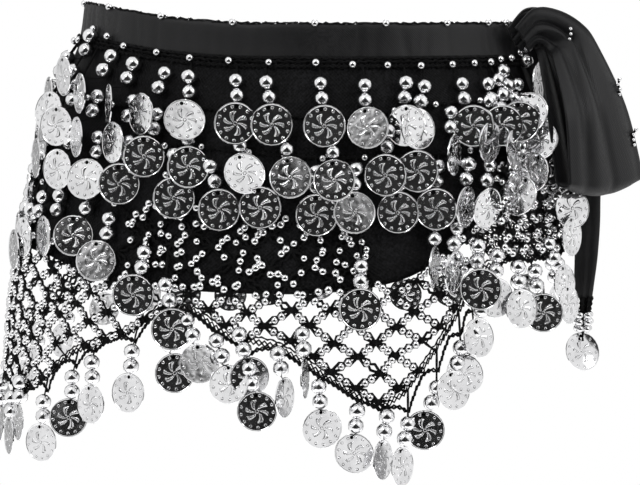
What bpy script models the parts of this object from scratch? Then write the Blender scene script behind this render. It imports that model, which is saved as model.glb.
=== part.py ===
# Belly dance hip scarf: a folded waistband, a tapering cloth panel, rows of coin dangles,
# a beaded crochet net with a coin fringe, and a half bow tied at one hip.
# Metres, +Z up. The front faces -Y and the knot is at +X. The origin is the middle of the
# waist ring, at half the height of the waistband. Angles are degrees round the waist from
# the front's centre, positive towards the knot. A drop is measured down from the top edge.

import math

import bmesh
import bpy
from mathutils import Vector

MM = 0.001

# The strip's ends at the knot, and the side where the net is parted
START_ANGLE = -280.0
END_ANGLE = 60.0
NET_PARTING = -110.0
PARTING_GAP = 0.8
NET_START = -272.0

# Waist and hip form: drop, half width to the side, half depth to the front (mm)
HIP_FORM = (
    {"drop": 0.0, "side": 137.0, "front": 98.0},
    {"drop": 23.0, "side": 141.0, "front": 101.0},
    {"drop": 52.0, "side": 154.0, "front": 108.0},
    {"drop": 70.0, "side": 159.5, "front": 112.0},
    {"drop": 95.0, "side": 164.0, "front": 116.0},
    {"drop": 120.0, "side": 169.5, "front": 120.0},
    {"drop": 151.0, "side": 179.0, "front": 125.0},
    {"drop": 185.0, "side": 185.0, "front": 128.0},
    {"drop": 230.0, "side": 188.0, "front": 130.0},
    {"drop": 280.0, "side": 188.0, "front": 130.0},
)

# Height of the top edge round the waist (mm)
TOP_EDGE = (
    {"angle": -280.0, "height": 11.0},
    {"angle": -180.0, "height": 6.0},
    {"angle": -130.0, "height": 11.0},
    {"angle": -105.0, "height": 19.0},
    {"angle": -80.0, "height": 24.0},
    {"angle": -60.0, "height": 21.5},
    {"angle": -35.0, "height": 15.0},
    {"angle": -15.0, "height": 12.0},
    {"angle": 60.0, "height": 12.0},
)

# Lower edge of the cloth (mm below the top edge)
CLOTH_HEM = (
    {"angle": -280.0, "drop": 62.0},
    {"angle": -270.0, "drop": 86.0},
    {"angle": -260.0, "drop": 106.0},
    {"angle": -244.0, "drop": 120.0},
    {"angle": -205.0, "drop": 124.0},
    {"angle": -150.0, "drop": 128.0},
    {"angle": -120.0, "drop": 140.0},
    {"angle": -97.0, "drop": 147.0},
    {"angle": -60.0, "drop": 147.0},
    {"angle": -44.0, "drop": 153.0},
    {"angle": -20.0, "drop": 152.0},
    {"angle": 3.0, "drop": 151.0},
    {"angle": 16.0, "drop": 145.0},
    {"angle": 26.0, "drop": 132.0},
    {"angle": 40.0, "drop": 109.0},
    {"angle": 52.0, "drop": 85.0},
    {"angle": 60.0, "drop": 66.0},
)

# Lower edge of the net, in points (mm below the top edge)
NET_EDGE = (
    {"angle": -280.0, "drop": 86.0},
    {"angle": -270.0, "drop": 108.0},
    {"angle": -256.0, "drop": 134.0},
    {"angle": -236.0, "drop": 146.0},
    {"angle": -220.0, "drop": 139.0},
    {"angle": -200.0, "drop": 149.0},
    {"angle": -182.0, "drop": 140.0},
    {"angle": -164.0, "drop": 150.0},
    {"angle": -148.0, "drop": 146.0},
    {"angle": -135.0, "drop": 158.0},
    {"angle": -120.0, "drop": 182.0},
    {"angle": -97.0, "drop": 214.0},
    {"angle": -78.0, "drop": 228.0},
    {"angle": -62.0, "drop": 227.0},
    {"angle": -54.0, "drop": 213.0},
    {"angle": -47.0, "drop": 197.0},
    {"angle": -40.0, "drop": 187.0},
    {"angle": -33.0, "drop": 178.0},
    {"angle": -28.0, "drop": 164.0},
    {"angle": -22.0, "drop": 161.0},
    {"angle": -15.0, "drop": 175.0},
    {"angle": -6.0, "drop": 181.0},
    {"angle": -1.0, "drop": 190.0},
    {"angle": 6.0, "drop": 206.0},
    {"angle": 12.0, "drop": 216.0},
    {"angle": 16.0, "drop": 208.0},
    {"angle": 22.0, "drop": 184.0},
    {"angle": 27.0, "drop": 163.0},
    {"angle": 32.0, "drop": 141.0},
    {"angle": 40.0, "drop": 134.0},
    {"angle": 54.0, "drop": 136.0},
    {"angle": 60.0, "drop": 127.0},
)

# How far above the cloth's hem the net begins (mm)
NET_RISE = 9.0
NET_CELL_WIDTH = 22.0
NET_CELL_HEIGHT = 16.5
NET_KNOT_WIDTH = 1.2
NET_KNOT_HEIGHT = 1.5
# The lattice: its first and last half column, its half rows, the drop it is measured round,
# how close a cell comes to the edge, and how far of a cell its lowest knots are drawn
NET_COLUMNS = (-80, 40)
NET_ROWS = 40
NET_MEASURED_DROP = 151.0
NET_EDGE_MARGIN = 2.0
NET_EDGE_PULL = 0.3

# Where the coin rows are sewn (mm below the top edge)
ROW_ONE = (
    {"angle": -274.0, "drop": 24.5},
    {"angle": 59.0, "drop": 24.5},
)
ROW_TWO = (
    {"angle": -270.0, "drop": 45.0},
    {"angle": -200.0, "drop": 50.0},
    {"angle": -100.0, "drop": 46.0},
    {"angle": -60.0, "drop": 44.0},
    {"angle": -24.0, "drop": 49.0},
    {"angle": 4.0, "drop": 54.0},
    {"angle": 28.0, "drop": 47.0},
    {"angle": 54.0, "drop": 43.0},
)
ROW_THREE = (
    {"angle": -258.0, "drop": 70.0},
    {"angle": -190.0, "drop": 74.0},
    {"angle": -110.0, "drop": 70.0},
    {"angle": -60.0, "drop": 67.0},
    {"angle": -26.0, "drop": 72.0},
    {"angle": 2.0, "drop": 77.0},
    {"angle": 23.0, "drop": 76.0},
    {"angle": 46.0, "drop": 71.0},
)
ROW_FOUR_LEFT = (
    {"angle": -250.0, "drop": 96.0},
    {"angle": -190.0, "drop": 98.0},
    {"angle": -150.0, "drop": 97.0},
    {"angle": -90.0, "drop": 104.0},
    {"angle": -62.0, "drop": 107.0},
    {"angle": -48.0, "drop": 98.0},
    {"angle": -41.0, "drop": 109.0},
    {"angle": -22.0, "drop": 141.0},
)
ROW_FOUR_RIGHT = (
    {"angle": 6.0, "drop": 130.0},
    {"angle": 15.0, "drop": 109.0},
    {"angle": 23.0, "drop": 104.0},
    {"angle": 32.0, "drop": 117.0},
    {"angle": 47.0, "drop": 104.0},
)

# Dangles that the front shows: angle along the row, and the coin's turn about its thread
FRONT_ONE = ((-88, 0), (-76, 0), (-64, 0), (-53, 0), (-44, 0), (-35, 0), (-26, 0), (-15, 0),
             (-6, 0), (2, 0), (11, 0), (19, 0), (26, 0), (34, 0), (42, 0), (49, 0))
FRONT_TWO = ((-84, 0), (-72, 0), (-61, 0), (-51, 0), (-42, 0), (-33, 0), (-23, 0), (-12, 0),
             (-4, 0), (5, 0), (14, 0), (22, 0), (29, 0), (36, 0), (43, 0), (50, 0))
FRONT_THREE = ((-79, 0), (-68, 0), (-58, 0), (-48, 0), (-38, 0), (-27, 0), (-17, 0), (-8, 0),
               (2, 0), (10, 0), (17, 0), (25, 0), (31, 0), (37, 0), (43, 0))
FRONT_FOUR_LEFT = ((-83, 0), (-72, 0), (-63, 0), (-55, 0), (-48, 0), (-40, 0), (-32, 0),
                   (-24, 0))
FRONT_FOUR_RIGHT = ((8, 0), (16, 50), (23, 44), (30, 40), (38, 0), (45, 0))
FRONT_HEM = ((-100, 0), (-90, 20), (-81, 0), (-72, 20), (-63, 0), (-54, 30), (-46, 0), (-39, 44),
             (-31, 30), (-23, 0), (-16, 0), (-10, 40), (-4, 0), (2, 44), (7, 0), (12, 60),
             (16, 50), (21, 0), (25, 44), (30, 0), (35, 44), (40, 0), (46, 30), (52, 0),
             (57, 30))

# Hidden sides: distance between dangles (mm), the shortest stretch that gets any, in pitches,
# and how far they keep from the row's ends (degrees)
HIDDEN_PITCH = 37.0
HIDDEN_SHORTEST = 1.3
HIDDEN_END = 1.0

# A dangle, measured down from its sewn root (mm)
BEAD_HALF = 3.4
COIN_RADIUS = 12.0
COIN_THICKNESS = 1.2
UPPER_BEAD = 9.0
LOWER_BEAD = 17.2
COIN_CENTRE = 33.4
ROOT_WIDTH = 1.6
THREAD_HALF = 1.0
COIN_OUTLINE = (
    {"down": -11.2, "half_width": 5.6},
    {"down": 0.0, "half_width": 12.0},
    {"down": 11.2, "half_width": 5.6},
)
COIN_LAP = 24.6
COIN_STEP = 2.2
COIN_GAP = 1.1

# Layers, as distances out from the hip form (mm)
CLOTH_THICKNESS = 1.6
BAND_THICKNESS = 2.4
SEAM_GAP = 0.35
NET_INNER = 2.1
NET_OUTER = 3.4
STRIP_HEIGHT = 1.9
STRIP_THICKNESS = 1.4
PANEL_STRIP = 3.0
NET_STRIP = 4.2
LEFT_STRIP = 3.5
FRINGE_LOWER = 0.8
FRINGE_END = 59.0

BAND_HEIGHT = 20.5
TRIM_HEIGHT = 3.0
CLOTH_STATIONS = 52
LONGEST_STRIP_STEP = 22.0

# Soft folds of the panel: angle, how wide, how deep (mm), and the drop where each is deepest
PANEL_FOLDS = (
    {"angle": -232.0, "width": 9.0, "depth": 1.5, "drop": 84.0},
    {"angle": -196.0, "width": 11.0, "depth": -1.3, "drop": 104.0},
    {"angle": -158.0, "width": 10.0, "depth": 1.6, "drop": 96.0},
    {"angle": -112.0, "width": 9.0, "depth": -1.4, "drop": 118.0},
    {"angle": -70.0, "width": 8.0, "depth": 1.5, "drop": 120.0},
    {"angle": -36.0, "width": 9.0, "depth": -1.4, "drop": 130.0},
    {"angle": -4.0, "width": 12.0, "depth": 1.3, "drop": 136.0},
    {"angle": 30.0, "width": 8.0, "depth": 1.4, "drop": 90.0},
    {"angle": 54.0, "width": 7.0, "depth": -1.2, "drop": 52.0},
)
FOLD_REACH = 42.0

# The knot lies between the two ends: a gathered bundle from one end to the other.
# Angle, its middle below the top edge, half its height, and how far in and out it reaches
KNOT_ROWS = (
    {"angle": 60.3, "drop": 26.0, "half_height": 24.0, "inner": -0.5, "outer": 9.0},
    {"angle": 62.5, "drop": 18.0, "half_height": 17.0, "inner": -3.0, "outer": 13.4},
    {"angle": 66.0, "drop": 14.0, "half_height": 17.5, "inner": -5.0, "outer": 15.0},
    {"angle": 69.0, "drop": 13.0, "half_height": 15.0, "inner": -4.0, "outer": 11.5},
    {"angle": 72.0, "drop": 14.0, "half_height": 17.5, "inner": -5.0, "outer": 13.0},
    {"angle": 76.0, "drop": 17.0, "half_height": 16.5, "inner": -3.0, "outer": 9.0},
    {"angle": 79.7, "drop": 26.0, "half_height": 24.0, "inner": -0.5, "outer": 4.0},
)
KNOT_SIDES = 12

# Loop of the half bow, round from the knot and down: its inner and outer edge (mm), and the
# space between its front and back layer. Its layers face LOOP_FACING degrees off the front.
LOOP_ROWS = (
    {"inner": (125.0, -61.0, -5.4), "outer": (116.5, -67.0, 8.6), "space": 3.0},
    {"inner": (129.0, -60.0, -1.0), "outer": (127.5, -65.0, 20.0), "space": 4.0},
    {"inner": (132.5, -59.0, -1.0), "outer": (142.0, -58.0, 19.0), "space": 5.0},
    {"inner": (135.0, -59.0, -4.3), "outer": (156.0, -52.0, 11.0), "space": 7.0},
    {"inner": (137.0, -69.0, -11.0), "outer": (165.0, -50.0, -1.5), "space": 9.0},
    {"inner": (141.0, -90.0, -41.0), "outer": (181.0, -50.0, -37.0), "space": 12.0},
    {"inner": (145.0, -91.0, -80.0), "outer": (194.0, -48.0, -79.0), "space": 8.0},
)
LOOP_FACING = 38.0
LOOP_FOLD_DROP = 3.0
LOOP_FOLD_SAG = 7.0
LOOP_BULGE = 1.6
LOOP_RIDGE = 1.2
LOOP_RIDGE_COUNT = 2.5
LOOP_ACROSS = 7
LOOP_THICKNESS = 2.0

# Tail: down from the knot (mm)
TAIL_ROWS = (
    {"x": 147.2, "y": -31.6, "z": -20.7, "half_width": 6.0, "half_depth": 2.6},
    {"x": 164.0, "y": -27.0, "z": -60.0, "half_width": 7.0, "half_depth": 2.2},
    {"x": 167.0, "y": -24.0, "z": -100.0, "half_width": 7.0, "half_depth": 2.0},
    {"x": 167.5, "y": -24.0, "z": -135.0, "half_width": 6.5, "half_depth": 1.9},
    {"x": 167.0, "y": -24.0, "z": -157.0, "half_width": 5.0, "half_depth": 1.9},
    {"x": 166.5, "y": -24.0, "z": -162.0, "half_width": 3.0, "half_depth": 1.9},
)
# The tail's cross section, as shares of its half width and half depth
TAIL_OUTLINE = ((-1.0, -0.4), (-1.0, 0.4), (-0.6, 1.0), (0.6, 1.0),
                (1.0, 0.4), (1.0, -0.4), (0.6, -1.0), (-0.6, -1.0))
# Below the tail: a cluster of beads, then the thread and one coin (mm down from the tip)
TIP_ROWS = (
    {"down": 0.0, "half_width": 3.0, "half_depth": 3.0},
    {"down": 4.0, "half_width": 6.0, "half_depth": 6.0},
    {"down": 10.0, "half_width": 6.0, "half_depth": 6.0},
    {"down": 14.5, "half_width": 1.2, "half_depth": 1.2},
    {"down": 16.0, "half_width": 4.2, "half_depth": 0.6},
    {"down": 22.7, "half_width": 11.6, "half_depth": 0.6},
    {"down": 32.5, "half_width": 11.6, "half_depth": 0.6},
    {"down": 39.2, "half_width": 4.2, "half_depth": 0.6},
)

CLOTH_BLACK = (0.012, 0.012, 0.013)
CROCHET_BLACK = (0.02, 0.02, 0.022)
COIN_SILVER = (0.72, 0.72, 0.74)


def clear_scene():
    for item in list(bpy.data.objects):
        bpy.data.objects.remove(item, do_unlink=True)


def make_material(name, colour, metallic, roughness):
    material = bpy.data.materials.new(name)
    material.use_nodes = True
    shader = material.node_tree.nodes["Principled BSDF"]
    shader.inputs["Base Color"].default_value = (*colour, 1.0)
    shader.inputs["Metallic"].default_value = metallic
    shader.inputs["Roughness"].default_value = roughness
    return material


def add_piece(name, mesh_data, material, smooth=True):
    # Turns a finished bmesh into a named object with its own material
    bmesh.ops.recalc_face_normals(mesh_data, faces=mesh_data.faces)
    mesh = bpy.data.meshes.new(name)
    mesh_data.to_mesh(mesh)
    mesh_data.free()
    if smooth:
        mesh.shade_smooth()
        mesh.set_sharp_from_angle(angle=math.radians(40))
    piece = bpy.data.objects.new(name, mesh)
    piece.data.materials.append(material)
    bpy.context.scene.collection.objects.link(piece)
    return piece


def read_table(table, key, at, column):
    # Straight interpolation between the rows of a table
    if at <= table[0][key]:
        return table[0][column]
    for low, high in zip(table, table[1:]):
        if at <= high[key]:
            share = (at - low[key]) / (high[key] - low[key])
            return low[column] + share * (high[column] - low[column])
    return table[-1][column]


def fold_relief(angle, drop):
    # The panel's soft folds, strongest at their own drop
    relief = 0.0
    for fold in PANEL_FOLDS:
        across = (angle - fold["angle"]) / fold["width"]
        along = (drop - fold["drop"]) / FOLD_REACH
        relief += fold["depth"] * math.exp(-across * across - along * along)
    return relief


def hip_point(angle, drop, out):
    # A point on the worn form, moved out from it
    lift = out + fold_relief(angle, drop)
    side = read_table(HIP_FORM, "drop", drop, "side") + lift
    front = read_table(HIP_FORM, "drop", drop, "front") + lift
    turn = math.radians(angle)
    height = read_table(TOP_EDGE, "angle", angle, "height") - drop
    return Vector((side * math.sin(turn), -front * math.cos(turn), height)) * MM


def along_direction(angle, drop):
    step = hip_point(angle + 0.5, drop, 0) - hip_point(angle - 0.5, drop, 0)
    step.z = 0.0
    return step.normalized()


def arc_length(angle_from, angle_to, drop):
    # Distance along the cloth between two angles (mm)
    steps = max(2, int(abs(angle_to - angle_from)))
    total = 0.0
    for index in range(steps):
        first = angle_from + (angle_to - angle_from) * index / steps
        second = angle_from + (angle_to - angle_from) * (index + 1) / steps
        total += (hip_point(second, drop, 0) - hip_point(first, drop, 0)).length / MM
    return total


def wall_between(outer, inner):
    # Closed wall from two grids of points of the same size
    work = bmesh.new()
    front = [[work.verts.new(point) for point in row] for row in outer]
    back = [[work.verts.new(point) for point in row] for row in inner]
    rows = len(front)
    columns = len(front[0])
    for row in range(rows - 1):
        for column in range(columns - 1):
            for side in (front, back):
                work.faces.new((side[row][column], side[row][column + 1],
                                side[row + 1][column + 1], side[row + 1][column]))
    for column in range(columns - 1):
        for row in (0, rows - 1):
            work.faces.new((front[row][column], front[row][column + 1],
                            back[row][column + 1], back[row][column]))
    for row in range(rows - 1):
        for column in (0, columns - 1):
            work.faces.new((front[row][column], front[row + 1][column],
                            back[row + 1][column], back[row][column]))
    return work


def ring_wall(drops_at, inner_out, outer_out, stations=CLOTH_STATIONS):
    # Wall round the waist; drops_at gives a list of drops for an angle
    angles = [START_ANGLE + (END_ANGLE - START_ANGLE) * step / stations
              for step in range(stations + 1)]
    columns = [drops_at(angle) for angle in angles]
    grids = []
    for out in (outer_out, inner_out):
        grids.append([[hip_point(angle, drops[row], out) for angle, drops in zip(angles, columns)]
                      for row in range(len(columns[0]))])
    return wall_between(grids[0], grids[1])


def build_waist_band(material):
    work = ring_wall(lambda angle: (0.0, BAND_HEIGHT), 0.0, BAND_THICKNESS)
    add_piece("waist_band", work, material)


def build_body_panel(material):
    top = BAND_HEIGHT + SEAM_GAP
    shares = (0.0, 0.3, 0.55, 0.8, 1.0)

    def drops_at(angle):
        hem = read_table(CLOTH_HEM, "angle", angle, "drop")
        return [top + share * (hem - top) for share in shares]

    add_piece("body_panel", ring_wall(drops_at, 0.0, CLOTH_THICKNESS), material)


def build_top_trim(material):
    # The crocheted row that covers the seam between band and panel
    top = BAND_HEIGHT - TRIM_HEIGHT / 2
    out = BAND_THICKNESS + SEAM_GAP
    work = ring_wall(lambda angle: (top, top + TRIM_HEIGHT), out, out + STRIP_THICKNESS)
    add_piece("top_trim", work, material)


def net_top(angle):
    return read_table(CLOTH_HEM, "angle", angle, "drop") - NET_RISE


def net_point(column, row, across, down, shift, out):
    # A point of the net's lattice, moved a little across and down
    distance = column * NET_CELL_WIDTH / 2
    angle = angle_at(distance)
    drop = row * NET_CELL_HEIGHT / 2 + shift + down
    return hip_point(angle, drop, out) + along_direction(angle, drop) * across * MM


def make_distance_table():
    # Distance along the hip from the front's centre, one entry a degree
    first = int(START_ANGLE) - 2
    last = int(END_ANGLE) + 2
    table = [(first, arc_length(0, first, NET_MEASURED_DROP) * -1)]
    for angle in range(first + 1, last + 1):
        step = hip_point(angle, NET_MEASURED_DROP, 0) - hip_point(angle - 1, NET_MEASURED_DROP, 0)
        table.append((angle, table[-1][1] + step.length / MM))
    return table


DISTANCES = []


def angle_at(distance):
    for (low, low_distance), (high, high_distance) in zip(DISTANCES, DISTANCES[1:]):
        if distance <= high_distance:
            return low + (distance - low_distance) / (high_distance - low_distance)
    return DISTANCES[-1][0]


def build_net(name, angle_from, angle_to, material):
    # Diamond cells between the upper and lower edge of the net, cut right through
    cells = set()
    for column in range(*NET_COLUMNS):
        angle = angle_at(column * NET_CELL_WIDTH / 2)
        left = angle_at((column - 1) * NET_CELL_WIDTH / 2)
        right = angle_at((column + 1) * NET_CELL_WIDTH / 2)
        if left < angle_from or right > angle_to:
            continue
        lowest = read_table(NET_EDGE, "angle", angle, "drop") - NET_EDGE_MARGIN
        for row in range(NET_ROWS):
            drop = row * NET_CELL_HEIGHT / 2
            if (column + row) % 2 and net_top(angle) <= drop <= lowest:
                cells.add((column, row))
    corners = {}
    for column, row in cells:
        for place in ((column - 1, row), (column + 1, row), (column, row - 1), (column, row + 1)):
            corners[place] = 0.0
    for column, row in corners:
        # The lowest knots of the lattice are drawn to the net's edge
        if (column, row + 1) not in cells:
            angle = angle_at(column * NET_CELL_WIDTH / 2)
            edge = read_table(NET_EDGE, "angle", angle, "drop")
            limit = NET_CELL_HEIGHT * NET_EDGE_PULL
            corners[(column, row)] = max(-limit, min(limit, edge - row * NET_CELL_HEIGHT / 2))
    work = bmesh.new()
    patches = {}
    directions = {"left": (-NET_KNOT_WIDTH, 0.0), "right": (NET_KNOT_WIDTH, 0.0),
                  "top": (0.0, -NET_KNOT_HEIGHT), "bottom": (0.0, NET_KNOT_HEIGHT)}
    for place in sorted(corners):
        shift = corners[place]
        patches[place] = {}
        for side, (across, down) in directions.items():
            pair = [work.verts.new(net_point(*place, across, down, shift, out))
                    for out in (NET_OUTER, NET_INNER)]
            patches[place][side] = pair
    used = set()
    for place in sorted(patches):
        patch = patches[place]
        loop = [patch[side] for side in ("left", "bottom", "right", "top")]
        for layer in (0, 1):
            work.faces.new([pair[layer] for pair in loop])
    for column, row in sorted(cells):
        # The four cords round a cell, each made once
        for first, second, from_sides, to_sides in (
                ((column, row - 1), (column + 1, row), ("right", "bottom"), ("top", "left")),
                ((column, row - 1), (column - 1, row), ("left", "bottom"), ("top", "right")),
                ((column - 1, row), (column, row + 1), ("right", "bottom"), ("top", "left")),
                ((column + 1, row), (column, row + 1), ("left", "bottom"), ("top", "right"))):
            if (first, second) in used:
                continue
            used.add((first, second))
            start = [patches[first][side] for side in from_sides]
            end = [patches[second][side] for side in to_sides]
            for layer in (0, 1):
                work.faces.new((start[0][layer], end[0][layer], end[1][layer], start[1][layer]))
    # Walls close the rim of every cord and knot
    partner = {}
    for patch in patches.values():
        for pair in patch.values():
            partner[pair[0]] = pair[1]
    for edge in [edge for edge in work.edges if len(edge.link_faces) == 1]:
        near, far = edge.verts
        if near in partner and far in partner:
            work.faces.new((near, far, partner[far], partner[near]))
    print(name, "cells", len(cells))
    add_piece(name, work, material, smooth=False)


def dangle_sections(angle, root_drop, turn, bead_out, coin_out):
    # The loops of four points down one dangle: thread, two beads and a coin
    sections = []
    along = along_direction(angle, root_drop)
    outward = Vector((along.y, -along.x, 0.0))

    def add_section(down, out, half_width, half_depth, twist):
        centre = hip_point(angle, root_drop + down, out)
        spin = math.radians(twist)
        across = (along * math.cos(spin) + outward * math.sin(spin)) * half_width * MM
        depth = (outward * math.cos(spin) - along * math.sin(spin)) * half_depth * MM
        sections.append((centre - across - depth, centre + across - depth,
                         centre + across + depth, centre - across + depth))

    add_section(UPPER_BEAD, bead_out, BEAD_HALF, BEAD_HALF, 0)
    add_section((UPPER_BEAD + LOWER_BEAD) / 2, bead_out, THREAD_HALF, THREAD_HALF, 0)
    add_section(LOWER_BEAD, bead_out, BEAD_HALF, BEAD_HALF, 0)
    out = coin_out + COIN_RADIUS * math.sin(math.radians(abs(turn)))
    for row in COIN_OUTLINE:
        add_section(COIN_CENTRE + row["down"], out, row["half_width"], COIN_THICKNESS / 2, turn)
    return sections


def fill_hidden(front, angle_from, angle_to, drop):
    # Dangles of the row: those the front shows, and even ones on the hidden stretches
    first_front = front[0][0] if front else angle_to
    last_front = front[-1][0] if front else angle_to
    dangles = [(angle, turn) for angle, turn in front if angle_from < angle < angle_to]
    for stretch_from, stretch_to, join in ((angle_from, first_front, 1), (last_front, angle_to, 0)):
        length = arc_length(stretch_from, stretch_to, drop)
        long_enough = length > HIDDEN_PITCH * HIDDEN_SHORTEST
        count = int(round(length / HIDDEN_PITCH)) if long_enough else 0
        for index in range(count):
            share = (index + (0.5 if join else 1.0)) / (count + 0.5)
            angle = stretch_from + share * (stretch_to - stretch_from)
            if angle_from + HIDDEN_END < angle < angle_to - HIDDEN_END:
                dangles.append((angle, 0))
    return sorted(dangles)


def build_dangle_row(name, path, front, strip_out, bead_out, coin_out, material, lower=0.0):
    # A narrow strip along the path with its dangles grown out of the strip's lower face
    angle_from = path[0]["angle"]
    angle_to = path[-1]["angle"]

    def path_drop(angle):
        return read_table(path, "angle", angle, "drop") + lower

    dangles = fill_hidden(front, angle_from, angle_to, path_drop(angle_from))
    stations = [(angle_from, None)]
    for angle, turn in dangles:
        half = ROOT_WIDTH / 2 / arc_length(angle, angle + 1, path_drop(angle))
        stations.append((angle - half, None))
        stations.append((angle + half, (angle, turn)))
    stations.append((angle_to, None))
    full = [stations[0]]
    for station in stations[1:]:
        gap = arc_length(full[-1][0], station[0], path_drop(station[0]))
        if station[1] is None and gap > LONGEST_STRIP_STEP:
            pieces = int(math.ceil(gap / LONGEST_STRIP_STEP))
            start = full[-1][0]
            for piece in range(1, pieces):
                full.append((start + (station[0] - start) * piece / pieces, None))
        full.append(station)
    work = bmesh.new()
    rings = []
    for angle, dangle in full:
        middle = path_drop(angle)
        ring = []
        for down, out in ((-0.5, 0.0), (-0.5, 1.0), (0.5, 1.0), (0.5, 0.0)):
            ring.append(work.verts.new(hip_point(angle, middle + down * STRIP_HEIGHT,
                                                 strip_out + out * STRIP_THICKNESS)))
        rings.append(ring)
    lapped = False
    last_angle = START_ANGLE
    for index in range(1, len(full)):
        before = rings[index - 1]
        after = rings[index]
        dangle = full[index][1]
        for side in range(4):
            if dangle is not None and side == 2:
                continue
            following = (side + 1) % 4
            work.faces.new((before[side], before[following], after[following], after[side]))
        if dangle is not None:
            angle, turn = dangle
            crowded = arc_length(last_angle, angle, path_drop(angle)) < COIN_LAP
            lapped = turn != 0 or (crowded and not lapped)
            last_angle = angle
            out = coin_out + (COIN_STEP if lapped else 0.0)
            loop = [before[3], after[3], after[2], before[2]]
            for section in dangle_sections(angle, path_drop(angle), turn, bead_out, out):
                fresh = [work.verts.new(point) for point in section]
                for corner in range(4):
                    following = (corner + 1) % 4
                    work.faces.new((loop[corner], loop[following], fresh[following], fresh[corner]))
                loop = fresh
            work.faces.new(loop)
    work.faces.new(rings[0])
    work.faces.new(rings[-1])
    print(name, "dangles", len(dangles))
    add_piece(name, work, material, smooth=False)


def part_of_table(table, angle_from, angle_to):
    # The rows of a table between two angles, with rows at both ends
    rows = [row for row in table if angle_from < row["angle"] < angle_to]
    ends = [{"angle": angle, "drop": read_table(table, "angle", angle, "drop")}
            for angle in (angle_from, angle_to)]
    return [ends[0], *rows, ends[1]]


def build_knot(material):
    # Rings of the bundle, each an oval between its inner and outer reach
    work = bmesh.new()
    rings = []
    for row in KNOT_ROWS:
        ring = []
        middle = (row["inner"] + row["outer"]) / 2
        reach = (row["outer"] - row["inner"]) / 2
        for side in range(KNOT_SIDES):
            turn = 2 * math.pi * side / KNOT_SIDES
            ring.append(work.verts.new(hip_point(row["angle"],
                                                 row["drop"] - row["half_height"] * math.sin(turn),
                                                 middle + reach * math.cos(turn))))
        rings.append(ring)
    for lower, upper in zip(rings, rings[1:]):
        for side in range(KNOT_SIDES):
            following = (side + 1) % KNOT_SIDES
            work.faces.new((lower[side], lower[following], upper[following], upper[side]))
    work.faces.new(rings[0])
    work.faces.new(rings[-1])
    add_piece("knot", work, material)


def loop_layer(out):
    # Grid of the loop: down its front layer, round the fold and up its back layer
    facing = Vector((math.sin(math.radians(LOOP_FACING)), -math.cos(math.radians(LOOP_FACING)),
                     0.0))
    grid = []
    stages = [(row, 1) for row in LOOP_ROWS]
    stages.append((LOOP_ROWS[-1], 0))
    stages.extend((row, -1) for row in reversed(LOOP_ROWS))
    for row, layer in stages:
        line = []
        for step in range(LOOP_ACROSS):
            share = step / (LOOP_ACROSS - 1)
            crown = math.sin(math.pi * share)
            ridge = LOOP_RIDGE * math.sin(LOOP_RIDGE_COUNT * math.pi * share)
            place = Vector(row["inner"]).lerp(Vector(row["outer"]), share)
            reach = layer * (row["space"] / 2 + out + LOOP_BULGE * crown)
            place += facing * (reach + ridge)
            if layer == 0:
                place.z -= LOOP_FOLD_DROP + LOOP_FOLD_SAG * crown + out
            line.append(place * MM)
        grid.append(line)
    return grid


def build_loop(material):
    work = wall_between(loop_layer(LOOP_THICKNESS), loop_layer(0.0))
    add_piece("knot_loop", work, material)


def build_tail(material):
    # A folded strip with rounded sides; its tip carries one dangle
    work = bmesh.new()
    loops = []
    for row in TAIL_ROWS:
        loop = []
        for x_share, y_share in TAIL_OUTLINE:
            loop.append(work.verts.new(Vector((row["x"] + x_share * row["half_width"],
                                               row["y"] + y_share * row["half_depth"],
                                               row["z"])) * MM))
        loops.append(loop)
    for upper, lower in zip(loops, loops[1:]):
        for side in range(len(TAIL_OUTLINE)):
            following = (side + 1) % len(TAIL_OUTLINE)
            work.faces.new((upper[side], upper[following], lower[following], lower[side]))
    work.faces.new(loops[0])
    work.faces.new(loops[-1])
    add_piece("knot_tail", work, material)


def build_tail_tip(material):
    # The bead cluster under the tail and its coin, as one string
    last = TAIL_ROWS[-1]
    top = last["z"] - SEAM_GAP
    work = bmesh.new()
    loops = []
    for row in TIP_ROWS:
        loop = []
        for x_share, y_share in ((-1.0, -1.0), (1.0, -1.0), (1.0, 1.0), (-1.0, 1.0)):
            loop.append(work.verts.new(Vector((last["x"] + x_share * row["half_width"],
                                               last["y"] + y_share * row["half_depth"],
                                               top - row["down"])) * MM))
        loops.append(loop)
    for upper, lower in zip(loops, loops[1:]):
        for side in range(4):
            following = (side + 1) % 4
            work.faces.new((upper[side], upper[following], lower[following], lower[side]))
    work.faces.new(loops[0])
    work.faces.new(loops[-1])
    add_piece("tail_tip", work, material, smooth=False)


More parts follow.
